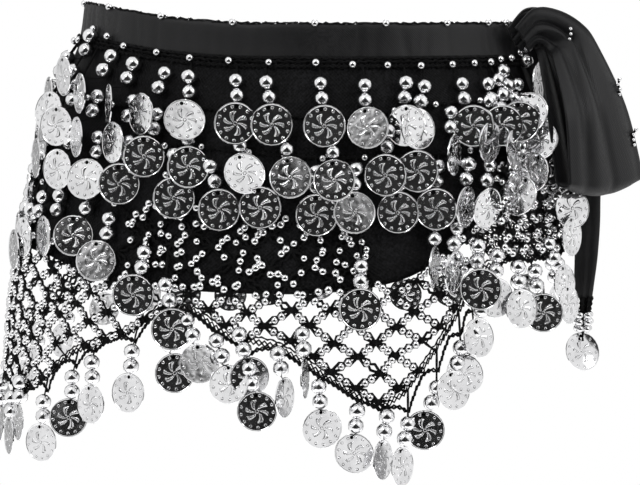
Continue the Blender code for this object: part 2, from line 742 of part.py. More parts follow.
def main():
    clear_scene()
    DISTANCES.extend(make_distance_table())
    cloth = {name: make_material(name, CLOTH_BLACK, 0.0, 0.6)
             for name in ("band_satin", "panel_satin", "knot_satin", "loop_satin", "tail_satin")}
    crochet = {name: make_material(name, CROCHET_BLACK, 0.0, 0.8)
               for name in ("trim_crochet", "front_net_crochet", "back_net_crochet")}
    build_waist_band(cloth["band_satin"])
    build_body_panel(cloth["panel_satin"])
    build_top_trim(crochet["trim_crochet"])
    build_net("net_front", NET_PARTING + PARTING_GAP, END_ANGLE, crochet["front_net_crochet"])
    build_net("net_back", NET_START, NET_PARTING - PARTING_GAP, crochet["back_net_crochet"])
    panel_bead = PANEL_STRIP + STRIP_THICKNESS + BEAD_HALF + SEAM_GAP
    net_bead = NET_STRIP + STRIP_THICKNESS + BEAD_HALF + SEAM_GAP
    net_coin = net_bead + BEAD_HALF + COIN_THICKNESS / 2 + COIN_GAP
    middle_coin = net_coin + COIN_THICKNESS + 2 * SEAM_GAP
    outer_coin = middle_coin + COIN_STEP + COIN_THICKNESS + SEAM_GAP
    rows = (
        ("coin_row_1", ROW_ONE, FRONT_ONE, PANEL_STRIP, panel_bead, outer_coin, 0.0),
        ("coin_row_2", ROW_TWO, FRONT_TWO, PANEL_STRIP, panel_bead, middle_coin, 0.0),
        ("coin_row_3", ROW_THREE, FRONT_THREE, PANEL_STRIP, panel_bead, net_coin, 0.0),
        ("coin_row_4_left", ROW_FOUR_LEFT, FRONT_FOUR_LEFT, LEFT_STRIP, net_bead, net_coin, 0.0),
        ("coin_row_4_right", ROW_FOUR_RIGHT, FRONT_FOUR_RIGHT, NET_STRIP, net_bead, net_coin, 0.0),
        ("hem_fringe_front", part_of_table(NET_EDGE, NET_PARTING + PARTING_GAP, FRINGE_END),
         FRONT_HEM, NET_STRIP, net_bead, net_bead, FRINGE_LOWER),
        ("hem_fringe_back", part_of_table(NET_EDGE, NET_START, NET_PARTING - PARTING_GAP),
         (), NET_STRIP, net_bead, net_bead, FRINGE_LOWER),
    )
    for name, path, front, strip_out, bead_out, coin_out, lower in rows:
        silver = make_material(name + "_silver", COIN_SILVER, 1.0, 0.2)
        build_dangle_row(name, path, front, strip_out, bead_out, coin_out, silver, lower)
    build_knot(cloth["knot_satin"])
    build_loop(cloth["loop_satin"])
    build_tail(cloth["tail_satin"])
    build_tail_tip(make_material("tail_tip_silver", COIN_SILVER, 1.0, 0.2))


main()
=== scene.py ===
# Belly dance hip scarf, worn: cloth, crochet net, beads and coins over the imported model.
# Metres, +Z up, the front faces -Y. Angles are degrees round the waist from the front's
# centre, positive towards the knot; a drop is millimetres down from the top edge.
import random
from math import cos, exp, pi, radians, sin

import bmesh
import bpy
from mathutils import Matrix, Vector


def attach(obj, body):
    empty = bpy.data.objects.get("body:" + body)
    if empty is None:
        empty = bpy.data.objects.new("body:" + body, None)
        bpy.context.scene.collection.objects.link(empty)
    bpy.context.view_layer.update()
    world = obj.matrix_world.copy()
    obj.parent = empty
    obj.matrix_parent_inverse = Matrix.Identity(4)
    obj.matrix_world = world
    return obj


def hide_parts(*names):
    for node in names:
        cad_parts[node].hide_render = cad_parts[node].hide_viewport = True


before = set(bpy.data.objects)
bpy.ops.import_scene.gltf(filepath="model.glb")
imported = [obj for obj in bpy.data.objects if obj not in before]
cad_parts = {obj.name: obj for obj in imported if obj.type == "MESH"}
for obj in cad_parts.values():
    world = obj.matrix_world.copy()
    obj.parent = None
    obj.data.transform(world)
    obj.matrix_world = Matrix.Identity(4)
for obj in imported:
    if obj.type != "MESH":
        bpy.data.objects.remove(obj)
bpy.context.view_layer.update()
scene = bpy.context.scene
mm = 0.001
chance = random.Random(11)
vary = chance.uniform
upward = Vector((0, 0, 1))
print("stage: packed model loaded")

# the worn form
wornForm = {
    "start": -280.0,
    "end": 60.0,
    "parting": -110.0,
    "side": ((0, 137), (23, 141), (52, 154), (70, 159.5), (95, 164), (120, 169.5), (151, 179),
        (185, 185), (230, 188), (280, 188)),
    "front": ((0, 98), (23, 101), (52, 108), (70, 112), (95, 116), (120, 120), (151, 125), (185, 128),
        (230, 130), (280, 130)),
    "topEdge": ((-280, 11), (-180, 6), (-130, 11), (-105, 19), (-80, 24), (-60, 21.5), (-35, 15),
        (-15, 12), (60, 12)),
    "clothHem": ((-280, 62), (-270, 86), (-260, 106), (-244, 120), (-205, 124), (-150, 128), (-120, 140),
        (-97, 147), (-60, 147), (-44, 153), (-20, 152), (3, 151), (16, 145), (26, 132), (40, 109),
        (52, 85), (60, 66)),
    "netEdge": ((-280, 86), (-270, 108), (-256, 134), (-236, 146), (-220, 139), (-200, 149), (-182, 140),
        (-164, 150), (-148, 146), (-135, 158), (-120, 182), (-97, 214), (-78, 228), (-62, 227),
        (-54, 213), (-47, 197), (-40, 187), (-33, 178), (-28, 164), (-22, 161), (-15, 175), (-6, 181),
        (-1, 190), (6, 206), (12, 216), (16, 208), (22, 184), (27, 163), (32, 141), (40, 134), (54, 136),
        (60, 127)),
    # angle, width, depth and the drop where it is deepest
    "folds": ((-232, 9, 1.5, 84), (-196, 11, -1.3, 104), (-158, 10, 1.6, 96), (-112, 9, -1.4, 118),
        (-70, 8, 1.5, 120), (-36, 9, -1.4, 130), (-4, 12, 1.3, 136), (30, 8, 1.4, 90),
        (54, 7, -1.2, 52)),
    "foldReach": 42.0, "foldEnd": 2.6,
}


def around(most):
    return vary(-most, most)


def readTable(table, at):
    # straight between the rows
    if at <= table[0][0]:
        return table[0][1]
    for (low, lowValue), (high, highValue) in zip(table, table[1:]):
        if at <= high:
            return lowValue + (at - low) / (high - low) * (highValue - lowValue)
    return table[-1][1]


def readSmooth(table, at):
    # a soft curve through the rows
    if at <= table[0][0]:
        return table[0][1]
    if at >= table[-1][0]:
        return table[-1][1]
    row = next(index for index in range(len(table) - 1) if at <= table[index + 1][0])
    x0, y0 = table[row]
    x1, y1 = table[row + 1]
    beforeX, beforeY = table[max(row - 1, 0)]
    afterX, afterY = table[min(row + 2, len(table) - 1)]
    span = x1 - x0
    slope0 = (y1 - beforeY) / (x1 - beforeX) * span
    slope1 = (afterY - y0) / (afterX - x0) * span
    t = (at - x0) / span
    return ((2 * t ** 3 - 3 * t ** 2 + 1) * y0 + (t ** 3 - 2 * t ** 2 + t) * slope0
            + (3 * t ** 2 - 2 * t ** 3) * y1 + (t ** 3 - t ** 2) * slope1)


def readColumns(rows, at):
    # every column of a table, read softly at a place among its rows
    return [readSmooth(list(enumerate(column)), at) for column in zip(*rows)]


def swell(across, along=0.0, end=9.0):
    # 1 in the middle of a fold and less round it, to nothing where it ends
    if abs(across) >= end:
        return 0.0
    return exp(-across * across - along * along)


def foldRelief(angle, drop):
    relief = 0.0
    for foldAngle, width, depth, foldDrop in wornForm["folds"]:
        relief += depth * swell((angle - foldAngle) / width, (drop - foldDrop) / wornForm["foldReach"],
                                wornForm["foldEnd"])
    return relief


def hipPoint(angle, drop, out):
    # a point on the worn form, moved out from it
    lift = out + foldRelief(angle, drop)
    side = readSmooth(wornForm["side"], drop) + lift
    front = readSmooth(wornForm["front"], drop) + lift
    turn = radians(angle)
    height = readSmooth(wornForm["topEdge"], angle) - drop
    return Vector((side * sin(turn), -front * cos(turn), height)) * mm


def facing(angle, drop):
    # level directions along the cloth and straight out of it
    along = hipPoint(angle + 0.5, drop, 0) - hipPoint(angle - 0.5, drop, 0)
    along.z = 0.0
    along.normalize()
    return along, Vector((along.y, -along.x, 0.0))


def angleAt(share):
    # from the cloth's end behind the knot, round the hip to its end in front of the knot
    return wornForm["start"] + (wornForm["end"] - wornForm["start"]) * share


def ringDistances(drop):
    # distance round the hip from the front's centre, a row for each degree
    table = [(0.0, 0.0)]
    for side, degrees in ((1, 63), (-1, 283)):
        away = 0.0
        for angle in range(1, degrees + 1):
            run = hipPoint(side * angle, drop, 0) - hipPoint(side * (angle - 1), drop, 0)
            away += run.length / mm
            table.append((side * away, float(side * angle)))
    return sorted(table)


# finishes


def placeNode(tree, kind, settings, feeds):
    node = tree.nodes.new("ShaderNode" + kind)
    for key, value in settings.items():
        setattr(node, key, value)
    for key, value in feeds.items():
        if isinstance(value, bpy.types.NodeSocket):
            tree.links.new(value, node.inputs[key])
        else:
            node.inputs[key].default_value = value
    return node


def mathsIn(tree):
    # a short way to add maths nodes to one tree
    def maths(operation, first, second=0.0):
        return placeNode(tree, "Math", {"operation": operation}, {0: first, 1: second}).outputs[0]
    return maths


def rampBetween(tree, value, low, high):
    # 0 at low, 1 at high, softly
    return placeNode(tree, "MapRange", {"interpolation_type": "SMOOTHSTEP"},
                     {"Value": value, "From Min": low, "From Max": high}).outputs["Result"]


def addNoise(tree, vector, scale, detail=2.0, roughness=0.5):
    return placeNode(tree, "TexNoise", {}, {"Vector": vector, "Scale": scale, "Detail": detail,
                                            "Roughness": roughness}).outputs[0]


def startGroup(name, numbers, outputs):
    # a node group with a Vector input and named numbers
    group = bpy.data.node_groups.new(name, "ShaderNodeTree")
    group.interface.new_socket(name="Vector", in_out="INPUT", socket_type="NodeSocketVector")
    for label, value in numbers.items():
        socket = group.interface.new_socket(name=label, in_out="INPUT", socket_type="NodeSocketFloat")
        socket.default_value = value
    for label in outputs:
        group.interface.new_socket(name=label, in_out="OUTPUT", socket_type="NodeSocketFloat")
    return group, group.nodes.new("NodeGroupInput"), group.nodes.new("NodeGroupOutput")


# the unevenness of every cloth: fine fibres, wider patches, and the weave over both
fibres = {"fineRoughness": 0.6, "patchScale": 38.0, "patchLift": 0.5, "shade": (0.36, 0.72),
          "grainShare": 0.6, "weaveShare": 0.4, "sheenRoughness": 0.35}


def buildGrainGroup():
    # uneven fibres: a shade for the colour and a height for the surface
    group, given, result = startGroup("fibreGrain", {"Scale": 900.0}, ("Shade", "Height"))
    maths = mathsIn(group)
    fine = addNoise(group, given.outputs["Vector"], given.outputs["Scale"],
                    roughness=fibres["fineRoughness"])
    wide = addNoise(group, given.outputs["Vector"], fibres["patchScale"])
    both = maths("MULTIPLY", fine, maths("ADD", wide, fibres["patchLift"]))
    group.links.new(rampBetween(group, both, *fibres["shade"]), result.inputs["Shade"])
    group.links.new(fine, result.inputs["Height"])
    return group


def buildWeaveGroup():
    # over and under threads, from a UV map in metres
    group, given, result = startGroup("plainWeave", {"Threads": 1100.0}, ("Height",))
    maths = mathsIn(group)
    place = placeNode(group, "SeparateXYZ", {}, {0: given.outputs["Vector"]})
    waves = []
    for axis in ("X", "Y"):
        count = maths("MULTIPLY", place.outputs[axis], given.outputs["Threads"])
        waves.append(maths("SINE", maths("MULTIPLY", count, pi)))
    group.links.new(maths("MULTIPLY", *waves), result.inputs["Height"])
    return group


# the stamp on a face of radius 1; a pair says where a form starts and where it is whole
stamp = {"dots": 13, "dotPhase": 100.75, "dotRing": 0.80, "dot": (0.08, 0.036),
         "petals": 6.0, "twist": 6.5, "uneven": 0.9, "petalSide": (0.15, 0.98),
         "petalTip": (0.58, 0.51), "petalRoot": (0.14, 0.20), "button": (0.10, 0.05),
         "holeUp": 0.80, "hole": (0.10, 0.08)}


def buildCoinGroup():
    # stamped relief on a coin's face: a ring of dots round a whorl of curved petals
    group, given, result = startGroup("stampedFace", {}, ("Height", "Hole"))
    maths = mathsIn(group)

    def length(first, second):
        squares = [maths("MULTIPLY", side, side) for side in (first, second)]
        return maths("SQRT", maths("ADD", *squares))

    place = placeNode(group, "SeparateXYZ", {}, {0: given.outputs["Vector"]})
    x, y = [maths("SUBTRACT", maths("MULTIPLY", place.outputs[axis], 2.0), 1.0) for axis in ("X", "Y")]
    radius = length(x, y)
    turn = maths("ARCTAN2", y, x)
    dotAngle = 2 * pi / stamp["dots"]
    share = maths("FRACT", maths("ADD", maths("MULTIPLY", turn, 1 / dotAngle), stamp["dotPhase"]))
    across = maths("MULTIPLY", maths("SUBTRACT", share, 0.5), dotAngle * stamp["dotRing"])
    dotAway = length(across, maths("SUBTRACT", radius, stamp["dotRing"]))
    dotted = rampBetween(group, dotAway, *stamp["dot"])
    curl = maths("ADD", maths("MULTIPLY", turn, stamp["petals"]), maths("MULTIPLY", radius, stamp["twist"]))
    uneven = maths("MULTIPLY", maths("SINE", maths("MULTIPLY", turn, 2.0)), stamp["uneven"])
    sides = rampBetween(group, maths("SINE", maths("ADD", curl, uneven)), *stamp["petalSide"])
    ends = maths("MULTIPLY", rampBetween(group, radius, *stamp["petalTip"]),
                 rampBetween(group, radius, *stamp["petalRoot"]))
    button = rampBetween(group, radius, *stamp["button"])
    height = maths("MAXIMUM", dotted, maths("MAXIMUM", maths("MULTIPLY", sides, ends), button))
    holeAway = length(x, maths("SUBTRACT", y, stamp["holeUp"]))
    group.links.new(height, result.inputs["Height"])
    group.links.new(rampBetween(group, holeAway, *stamp["hole"]), result.inputs["Hole"])
    return group


grainGroup = buildGrainGroup()
weaveGroup = buildWeaveGroup()
coinGroup = buildCoinGroup()


def newMaterial(name):
    material = bpy.data.materials.new(name)
    material.use_nodes = True
    return material, material.node_tree, material.node_tree.nodes["Principled BSDF"]


def mixColours(tree, share, first, second):
    return placeNode(tree, "Mix", {"data_type": "RGBA"},
                     {0: share, 6: (*first, 1.0), 7: (*second, 1.0)}).outputs[2]


def dressShader(tree, shader, look, colour, shade, height):
    # the colour, a roughness that follows the shade, and the relief where there is one
    tree.links.new(colour, shader.inputs["Base Color"])
    rough = placeNode(tree, "MapRange", {}, {"Value": shade, "To Min": look["roughness"],
                                             "To Max": look["roughness"] + look["dulling"]})
    tree.links.new(rough.outputs["Result"], shader.inputs["Roughness"])
    if height is not None:
        bump = placeNode(tree, "Bump", {}, {"Height": height, "Strength": look["bump"],
                                            "Distance": look["relief"]})
        tree.links.new(bump.outputs["Normal"], shader.inputs["Normal"])


def clothMaterial(name, look):
    material, tree, shader = newMaterial(name)
    maths = mathsIn(tree)
    place = placeNode(tree, "TexCoord", {}, {})
    grain = placeNode(tree, "Group", {"node_tree": grainGroup},
                      {"Vector": place.outputs["Object"], "Scale": look["grain"]})
    weave = placeNode(tree, "Group", {"node_tree": weaveGroup},
                      {"Vector": place.outputs["UV"], "Threads": look["threads"]})
    colour = mixColours(tree, grain.outputs["Shade"], look["dark"], look["light"])
    height = maths("ADD", maths("MULTIPLY", grain.outputs["Height"], fibres["grainShare"]),
                   maths("MULTIPLY", weave.outputs["Height"], fibres["weaveShare"]))
    dressShader(tree, shader, look, colour, grain.outputs["Shade"], height)
    shader.inputs["Sheen Weight"].default_value = look["sheen"]
    shader.inputs["Sheen Roughness"].default_value = fibres["sheenRoughness"]
    shader.inputs["Specular IOR Level"].default_value = look["gloss"]
    return material


def silverMaterial(name, look):
    material, tree, shader = newMaterial(name)
    maths = mathsIn(tree)
    place = placeNode(tree, "TexCoord", {}, {})
    cloud = addNoise(tree, place.outputs["Object"], look["cloud"], 3.0)
    worn = rampBetween(tree, cloud, *look["wear"])
    colour = mixColours(tree, worn, look["clean"], look["worn"])
    height = None
    if look["stamped"]:
        face = placeNode(tree, "Group", {"node_tree": coinGroup}, {"Vector": place.outputs["UV"]})
        colour = placeNode(tree, "Mix", {"data_type": "RGBA"},
                           {0: face.outputs["Hole"], 6: colour, 7: (0.0, 0.0, 0.0, 1.0)}).outputs[2]
        dents = addNoise(tree, place.outputs["Object"], look["dentScale"], 1.0)
        height = maths("ADD", face.outputs["Height"], maths("MULTIPLY", dents, look["dents"]))
    dressShader(tree, shader, look, colour, worn, height)
    shader.inputs["Metallic"].default_value = 1.0
    return material


looks = {
    "satin": {"dark": (0.004, 0.004, 0.0045), "light": (0.007, 0.007, 0.0078), "roughness": 0.38,
              "dulling": 0.16, "sheen": 0.02, "gloss": 0.3, "grain": 700.0, "threads": 1500.0,
              "bump": 0.3, "relief": 0.0004},
    "panel": {"dark": (0.0015, 0.0015, 0.0018), "light": (0.009, 0.009, 0.01), "roughness": 0.6,
              "dulling": 0.16, "sheen": 0.0, "gloss": 0.12, "grain": 620.0, "threads": 900.0,
              "bump": 0.7, "relief": 0.0004},
    "crochet": {"dark": (0.003, 0.003, 0.003), "light": (0.012, 0.012, 0.013), "roughness": 0.75,
                "dulling": 0.16, "sheen": 0.0, "gloss": 0.15, "grain": 1400.0, "threads": 900.0,
                "bump": 0.8, "relief": 0.0004},
    "coin": {"clean": (0.92, 0.92, 0.93), "worn": (0.78, 0.78, 0.79), "roughness": 0.08,
             "dulling": 0.1, "cloud": 85.0, "wear": (0.38, 0.66), "stamped": True, "dents": 0.12,
             "dentScale": 210.0, "bump": 1.0, "relief": 0.0009},
    "bead": {"clean": (0.95, 0.95, 0.96), "worn": (0.84, 0.84, 0.85), "roughness": 0.13,
             "dulling": 0.06, "cloud": 140.0, "wear": (0.38, 0.66), "stamped": False},
}
bandSatin = clothMaterial("bandSatin", looks["satin"])
loopSatin = clothMaterial("loopSatin", looks["satin"])
panelCloth = clothMaterial("panelCloth", looks["panel"])
crochetBlack = clothMaterial("crochetBlack", looks["crochet"])
coinSilver = silverMaterial("coinSilver", looks["coin"])
beadSilver = silverMaterial("beadSilver", looks["bead"])
print("stage: finishes made")

# ways of making a piece


def meshFrom(work, name):
    mesh = bpy.data.meshes.new(name)
    work.to_mesh(mesh)
    work.free()
    return mesh


def placePiece(name, mesh, slotName, replaced):
    piece = bpy.data.objects.new(name, mesh)
    scene.collection.objects.link(piece)
    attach(piece, "root")
    if replaced:
        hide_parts(*replaced)
    return piece


def finishPiece(name, work, material, slotName, replaced=(), sharp=None):
    mesh = meshFrom(work, name)
    mesh.shade_smooth()
    if sharp:
        mesh.set_sharp_from_angle(angle=radians(sharp))
    mesh.materials.append(material)
    return placePiece(name, mesh, slotName, replaced)


def layCloth(columns, rows, place, flat, closed=False):
    # a grid laid onto the form; its UV map is in metres of cloth
    work = bmesh.new()
    uvMap = work.loops.layers.uv.new("cloth")
    bmesh.ops.create_grid(work, x_segments=columns, y_segments=rows, size=0.5, calc_uvs=True)
    for face in work.faces:
        for corner in face.loops:
            corner[uvMap].uv = ((corner.vert.co.x + 0.5) * flat[0], (corner.vert.co.y + 0.5) * flat[1])
    for vert in work.verts:
        vert.co = place(vert.co.x + 0.5, vert.co.y + 0.5)
    if closed:
        bmesh.ops.remove_doubles(work, verts=work.verts, dist=0.00002)
        bmesh.ops.holes_fill(work, edges=work.edges, sides=0)
        bmesh.ops.recalc_face_normals(work, faces=work.faces)
    return work


def addThickness(piece, thickness):
    wall = piece.modifiers.new("thickness", "SOLIDIFY")
    wall.thickness = thickness * mm
    wall.offset = -1.0


def makeCords(name, paths, material, slotName, replaced=()):
    # a path is a list of points, each with a thickness, and whether it is a closed loop
    line = bpy.data.curves.new(name + "Line", "CURVE")
    line.dimensions = "3D"
    line.bevel_depth = mm
    line.bevel_resolution = 0
    line.use_fill_caps = True
    for points, closed in paths:
        spline = line.splines.new("POLY")
        spline.points.add(len(points) - 1)
        for target, (point, thickness) in zip(spline.points, points):
            target.co = (*point, 1.0)
            target.radius = thickness
        spline.use_cyclic_u = closed
    source = bpy.data.objects.new(name + "Line", line)
    scene.collection.objects.link(source)
    view = bpy.context.evaluated_depsgraph_get()
    mesh = bpy.data.meshes.new_from_object(source.evaluated_get(view))
    bpy.data.objects.remove(source, do_unlink=True)
    mesh.name = name
    mesh.materials.clear()
    mesh.materials.append(material)
    mesh.shade_smooth()
    return placePiece(name, mesh, slotName, replaced)


def knobbly(points, thin, thick):
    # crochet thread along a line: thick and thin by turns
    return [(point, thick if index % 2 else thin) for index, point in enumerate(points)]


def between(first, last, count):
    # points in a straight line from first to last
    return [first.lerp(last, index / (count - 1)) for index in range(count)]


def threadLoop(centre, across, reach, count=7):
    # a small closed picot loop
    turns = [2 * pi * step / count for step in range(count)]
    return [(centre + (across * cos(turn) + upward * sin(turn)) * reach * mm, 0.5)
            for turn in turns], True


def beadShape(name, radius, smoothness, squash):
    work = bmesh.new()
    bmesh.ops.create_icosphere(work, subdivisions=smoothness, radius=radius * mm)
    bmesh.ops.scale(work, vec=(1.0, 1.0, squash), verts=work.verts)
    return meshFrom(work, name)


def addCopy(work, shape, matrix):
    copy = shape.copy()
    copy.transform(matrix)
    work.from_mesh(copy)
    bpy.data.meshes.remove(copy)


def placeBead(work, shape, centre, size=1.0, axis=None):
    turn = Matrix.Identity(4) if axis is None else axis.to_track_quat("Z", "Y").to_matrix().to_4x4()
    addCopy(work, shape, Matrix.Translation(centre) @ turn @ Matrix.Scale(size, 4))


def placeCoin(work, centre, across, up, normal, size=1.0):
    turn = Matrix((across, up, normal)).transposed().to_4x4()
    addCopy(work, coinMesh, Matrix.Translation(centre) @ turn @ Matrix.Scale(size, 4))


coinPlan = {
    "steps": 24,
    "radius": 11.95,
    # distance from the middle and height of the stamped blank's section
    "section": ((0.0, 0.36), (11.2, 0.30), (11.5, 0.48), (11.75, 0.46), (11.95, 0.20), (11.95, -0.30),
                (0.0, -0.35)),
}


def coinShape():
    work = bmesh.new()
    uvMap = work.loops.layers.uv.new("cloth")
    corners = [work.verts.new((away * mm, 0.0, height * mm)) for away, height in coinPlan["section"]]
    edges = [work.edges.new(pair) for pair in zip(corners, corners[1:])]
    bmesh.ops.spin(work, geom=corners + edges, cent=(0, 0, 0), axis=(0, 0, 1), dvec=(0, 0, 0),
                   angle=2 * pi, steps=coinPlan["steps"], use_merge=True)
    bmesh.ops.remove_doubles(work, verts=work.verts, dist=0.00001)
    bmesh.ops.recalc_face_normals(work, faces=work.faces)
    width = 2 * coinPlan["radius"] * mm
    for face in work.faces:
        for corner in face.loops:
            corner[uvMap].uv = (corner.vert.co.x / width + 0.5, corner.vert.co.y / width + 0.5)
    return meshFrom(work, "coinShape")


coinMesh = coinShape()
largeBead = beadShape("largeBead", 4.8, 2, 0.96)
trimBead = beadShape("trimBead", 2.4, 2, 0.92)
smallBead = beadShape("smallBead", 2.1, 2, 0.92)
tinyBead = beadShape("tinyBead", 1.2, 1, 0.9)

# waistband
waistband = {
    "columns": 420, "rows": 20, "flat": (0.80, 0.0415), "thickness": 0.8, "seam": 20.7,
    # share of the way from the outer seam over the top to the inner seam
    "out": ((0.0, 2.4), (0.44, 2.35), (0.5, 1.3), (0.56, 0.3), (1.0, 0.1)),
    "drop": ((0.0, 20.7), (0.44, 1.8), (0.5, 0.0), (0.56, 1.8), (1.0, 20.7)),
    "gathers": 74, "gatherWidth": (0.5, 1.3), "gatherDepth": (0.15, 0.6), "gatherSlant": (-0.09, 0.09),
    "gatherEnd": 2.2, "topDent": 0.45,
    # size, beat and start of the waves along the upper edge
    "edgeWaves": ((0.35, 0.31, 0.0), (0.25, 0.83, 1.0)),
}
gathers = []
for index in range(waistband["gathers"]):
    middle = angleAt((index + vary(0.15, 0.85)) / waistband["gathers"])
    gathers.append((middle, vary(*waistband["gatherWidth"]), vary(*waistband["gatherDepth"]),
                    vary(*waistband["gatherSlant"])))


def bandPlace(u, v):
    angle = angleAt(u)
    drop = readTable(waistband["drop"], v)
    down = drop / waistband["seam"]
    dent = 0.0
    if v < 0.5:
        for middle, width, depth, slant in gathers:
            dent += depth * swell((angle - middle - slant * drop) / width, end=waistband["gatherEnd"])
    dent *= waistband["topDent"] + (1 - waistband["topDent"]) * down
    edge = sum(size * sin(angle * beat + start) for size, beat, start in waistband["edgeWaves"])
    return hipPoint(angle, drop + edge * (1 - down), readTable(waistband["out"], v) - dent)


band = finishPiece("waistband", layCloth(waistband["columns"], waistband["rows"], bandPlace,
                                         waistband["flat"]), bandSatin, "waistband_satin", ("waist_band",))
addThickness(band, waistband["thickness"])
print("stage: waistband")

# body panel
bodyPanel = {
    "columns": 420, "rows": 34, "flat": (0.92, 0.133), "area": 0.088, "thickness": 1.1, "out": 1.55,
    "top": 20.9, "creaseEnd": 2.4,
    # angle, width, depth, drop where it is deepest, reach down, slant in degrees per mm
    "creases": ((-273, 2.2, 0.7, 60, 22, 0.10), (-262, 2.8, 0.6, 70, 30, -0.05),
        (-251, 2.0, 0.8, 92, 26, 0.04), (-241, 3.0, 0.5, 60, 34, 0.08), (-228, 2.4, 0.8, 100, 24, -0.06),
        (-214, 2.9, 0.6, 80, 40, 0.03), (-203, 2.0, 0.9, 110, 18, 0.09), (-190, 2.6, 0.6, 70, 36, -0.04),
        (-176, 2.2, 0.8, 98, 30, 0.05), (-165, 3.2, 0.5, 60, 30, 0.02), (-151, 2.3, 0.9, 112, 22, -0.08),
        (-139, 2.7, 0.6, 84, 36, 0.06), (-126, 2.1, 0.8, 120, 24, 0.03), (-117, 2.8, 0.6, 72, 30, -0.05),
        (-101, 2.4, 0.9, 126, 26, 0.07), (-91, 2.0, 0.6, 80, 32, 0.02), (-79, 2.6, 0.8, 130, 24, -0.07),
        (-64, 2.2, 0.7, 92, 30, 0.05), (-52, 2.8, 0.9, 138, 22, -0.04), (-41, 2.0, 0.6, 70, 34, 0.03),
        (-29, 2.5, 0.8, 140, 20, 0.08), (-17, 2.2, 0.7, 122, 26, -0.06), (-6, 2.8, 0.6, 96, 30, 0.04),
        (5, 2.1, 0.9, 141, 18, -0.05), (13, 2.6, 0.7, 118, 26, 0.07), (22, 2.2, 0.8, 100, 24, -0.08),
        (33, 2.4, 0.9, 84, 26, 0.10), (43, 2.0, 0.7, 64, 24, 0.12), (51, 2.3, 0.9, 48, 20, 0.14),
        (57, 1.8, 0.7, 38, 16, 0.12)),
}


def panelPlace(u, v):
    angle = angleAt(u)
    hem = readSmooth(wornForm["clothHem"], angle)
    drop = hem + (bodyPanel["top"] - hem) * v
    dent = 0.0
    for middle, width, depth, deepest, reach, slant in bodyPanel["creases"]:
        dent += depth * swell((angle - middle - slant * (drop - deepest)) / width,
                              (drop - deepest) / reach, bodyPanel["creaseEnd"])
    return hipPoint(angle, drop, bodyPanel["out"] - dent)


panel = finishPiece("bodyPanel", layCloth(bodyPanel["columns"], bodyPanel["rows"], panelPlace,
                                          bodyPanel["flat"]), panelCloth, "panel_satin", ("body_panel",))
addThickness(panel, bodyPanel["thickness"])
print("stage: body panel")

# crochet trim along the seam
trim = {
    "from": -279, "to": 59, "drop": 21.0, "beadOut": 5.1, "beadPitch": 22.0, "frontGap": 5.0,
    "picotDrop": 24.2, "picotOut": 2.7, "picotReach": 1.9, "picotPitch": 3.2, "tinyShare": 0.4,
    # drop, out, stitch, thin and thick: two strands at the seam, one at the waistband's upper edge
    "chains": ((20.1, 3.3, 1.5, 0.55, 1.0), (21.9, 3.3, 1.7, 0.5, 0.95), (0.4, 1.7, 1.7, 0.4, 0.75)),
    # angle and drop of each bead at the front
    "front": ((-64.2, 14.5), (-56.2, 17), (-48.8, 20.5), (-37.8, 21), (-28.5, 22), (-18.8, 22),
        (-9.5, 22.5), (1, 22.5), (9.2, 23.5), (17.2, 24), (25.2, 24.5), (33.5, 24), (40, 23.5),
        (45.5, 23), (49.5, 21.5), (54, 21), (58.4, 18)),
    # the beads on the upper edge: angles at the front, and how they go on round the hip
    "edgeDrop": 0.4, "edgeOut": 2.6, "edgeTinyOut": 1.2, "edgeBead": 0.92, "edgePitch": 19.0,
    "edgeFront": (-59, -38.5, -18.8, 0.8, 17.7, 34, 47.7, 55.2), "edgeFrom": -64.0, "edgeEnd": -275,
}
trimDistances = ringDistances(trim["drop"])
# a chain's strand also ripples in and out
chainRipple = {"out": 0.35, "beat": 1.3}


def chainAlong(path, angleFrom, angleTo, out, stitch, thin, thick, waver=0.4, beat=1.9, phase=0.0):
    # a crocheted chain that follows a drop round the hip
    points = []
    angle = angleFrom
    while angle < angleTo:
        drop = path(angle) + waver * sin(len(points) * beat + phase)
        ripple = chainRipple["out"] * sin(len(points) * chainRipple["beat"])
        points.append(hipPoint(angle, drop, out + ripple))
        low, high = angle - 0.25, angle + 0.25
        near = hipPoint(high, path(high), 0) - hipPoint(low, path(low), 0)
        angle += stitch * 0.5 / max(0.5, near.length / mm)
    return knobbly(points, thin, thick), False


trimPaths = []
for drop, *strand in trim["chains"]:
    trimPaths.append(chainAlong(lambda angle: drop, trim["from"], trim["to"], *strand))
trimBeads = bmesh.new()
edgeAngles = list(trim["edgeFront"])
while edgeAngles[-1] > trim["edgeEnd"]:
    edgeAngles.append(min(edgeAngles[-1], trim["edgeFrom"]) - trim["edgePitch"] * vary(0.85, 1.15))
for angle in edgeAngles[:-1]:
    spot = hipPoint(angle, trim["edgeDrop"], trim["edgeOut"])
    placeBead(trimBeads, trimBead, spot, trim["edgeBead"], facing(angle, trim["edgeDrop"])[1])
trimPlaces = list(trim["front"])
distance = trimDistances[4][0]  # four degrees from the table's end
while readTable(trimDistances, distance) < trim["front"][0][0] - trim["frontGap"]:
    trimPlaces.append((readTable(trimDistances, distance), trim["drop"] + vary(0, 2)))
    distance += trim["beadPitch"] * vary(0.85, 1.15)
for angle, drop in trimPlaces:
    placeBead(trimBeads, trimBead, hipPoint(angle, drop, trim["beadOut"]), vary(0.92, 1.04),
              facing(angle, drop)[1])
angle = trim["from"] + 2.0
while angle < trim["to"] - 1:
    loopAt = hipPoint(angle, trim["picotDrop"], trim["picotOut"])
    trimPaths.append(threadLoop(loopAt, facing(angle, trim["drop"])[0], trim["picotReach"]))
    if chance.random() < trim["tinyShare"]:
        placeBead(trimBeads, tinyBead, hipPoint(angle, trim["edgeDrop"], trim["edgeTinyOut"]), 0.9)
    angle += trim["picotPitch"] * vary(0.85, 1.15)
makeCords("trimCrochet", trimPaths, crochetBlack, "trim_crochet", ("top_trim",))
finishPiece("trimBeads", trimBeads, beadSilver, "row_silver")
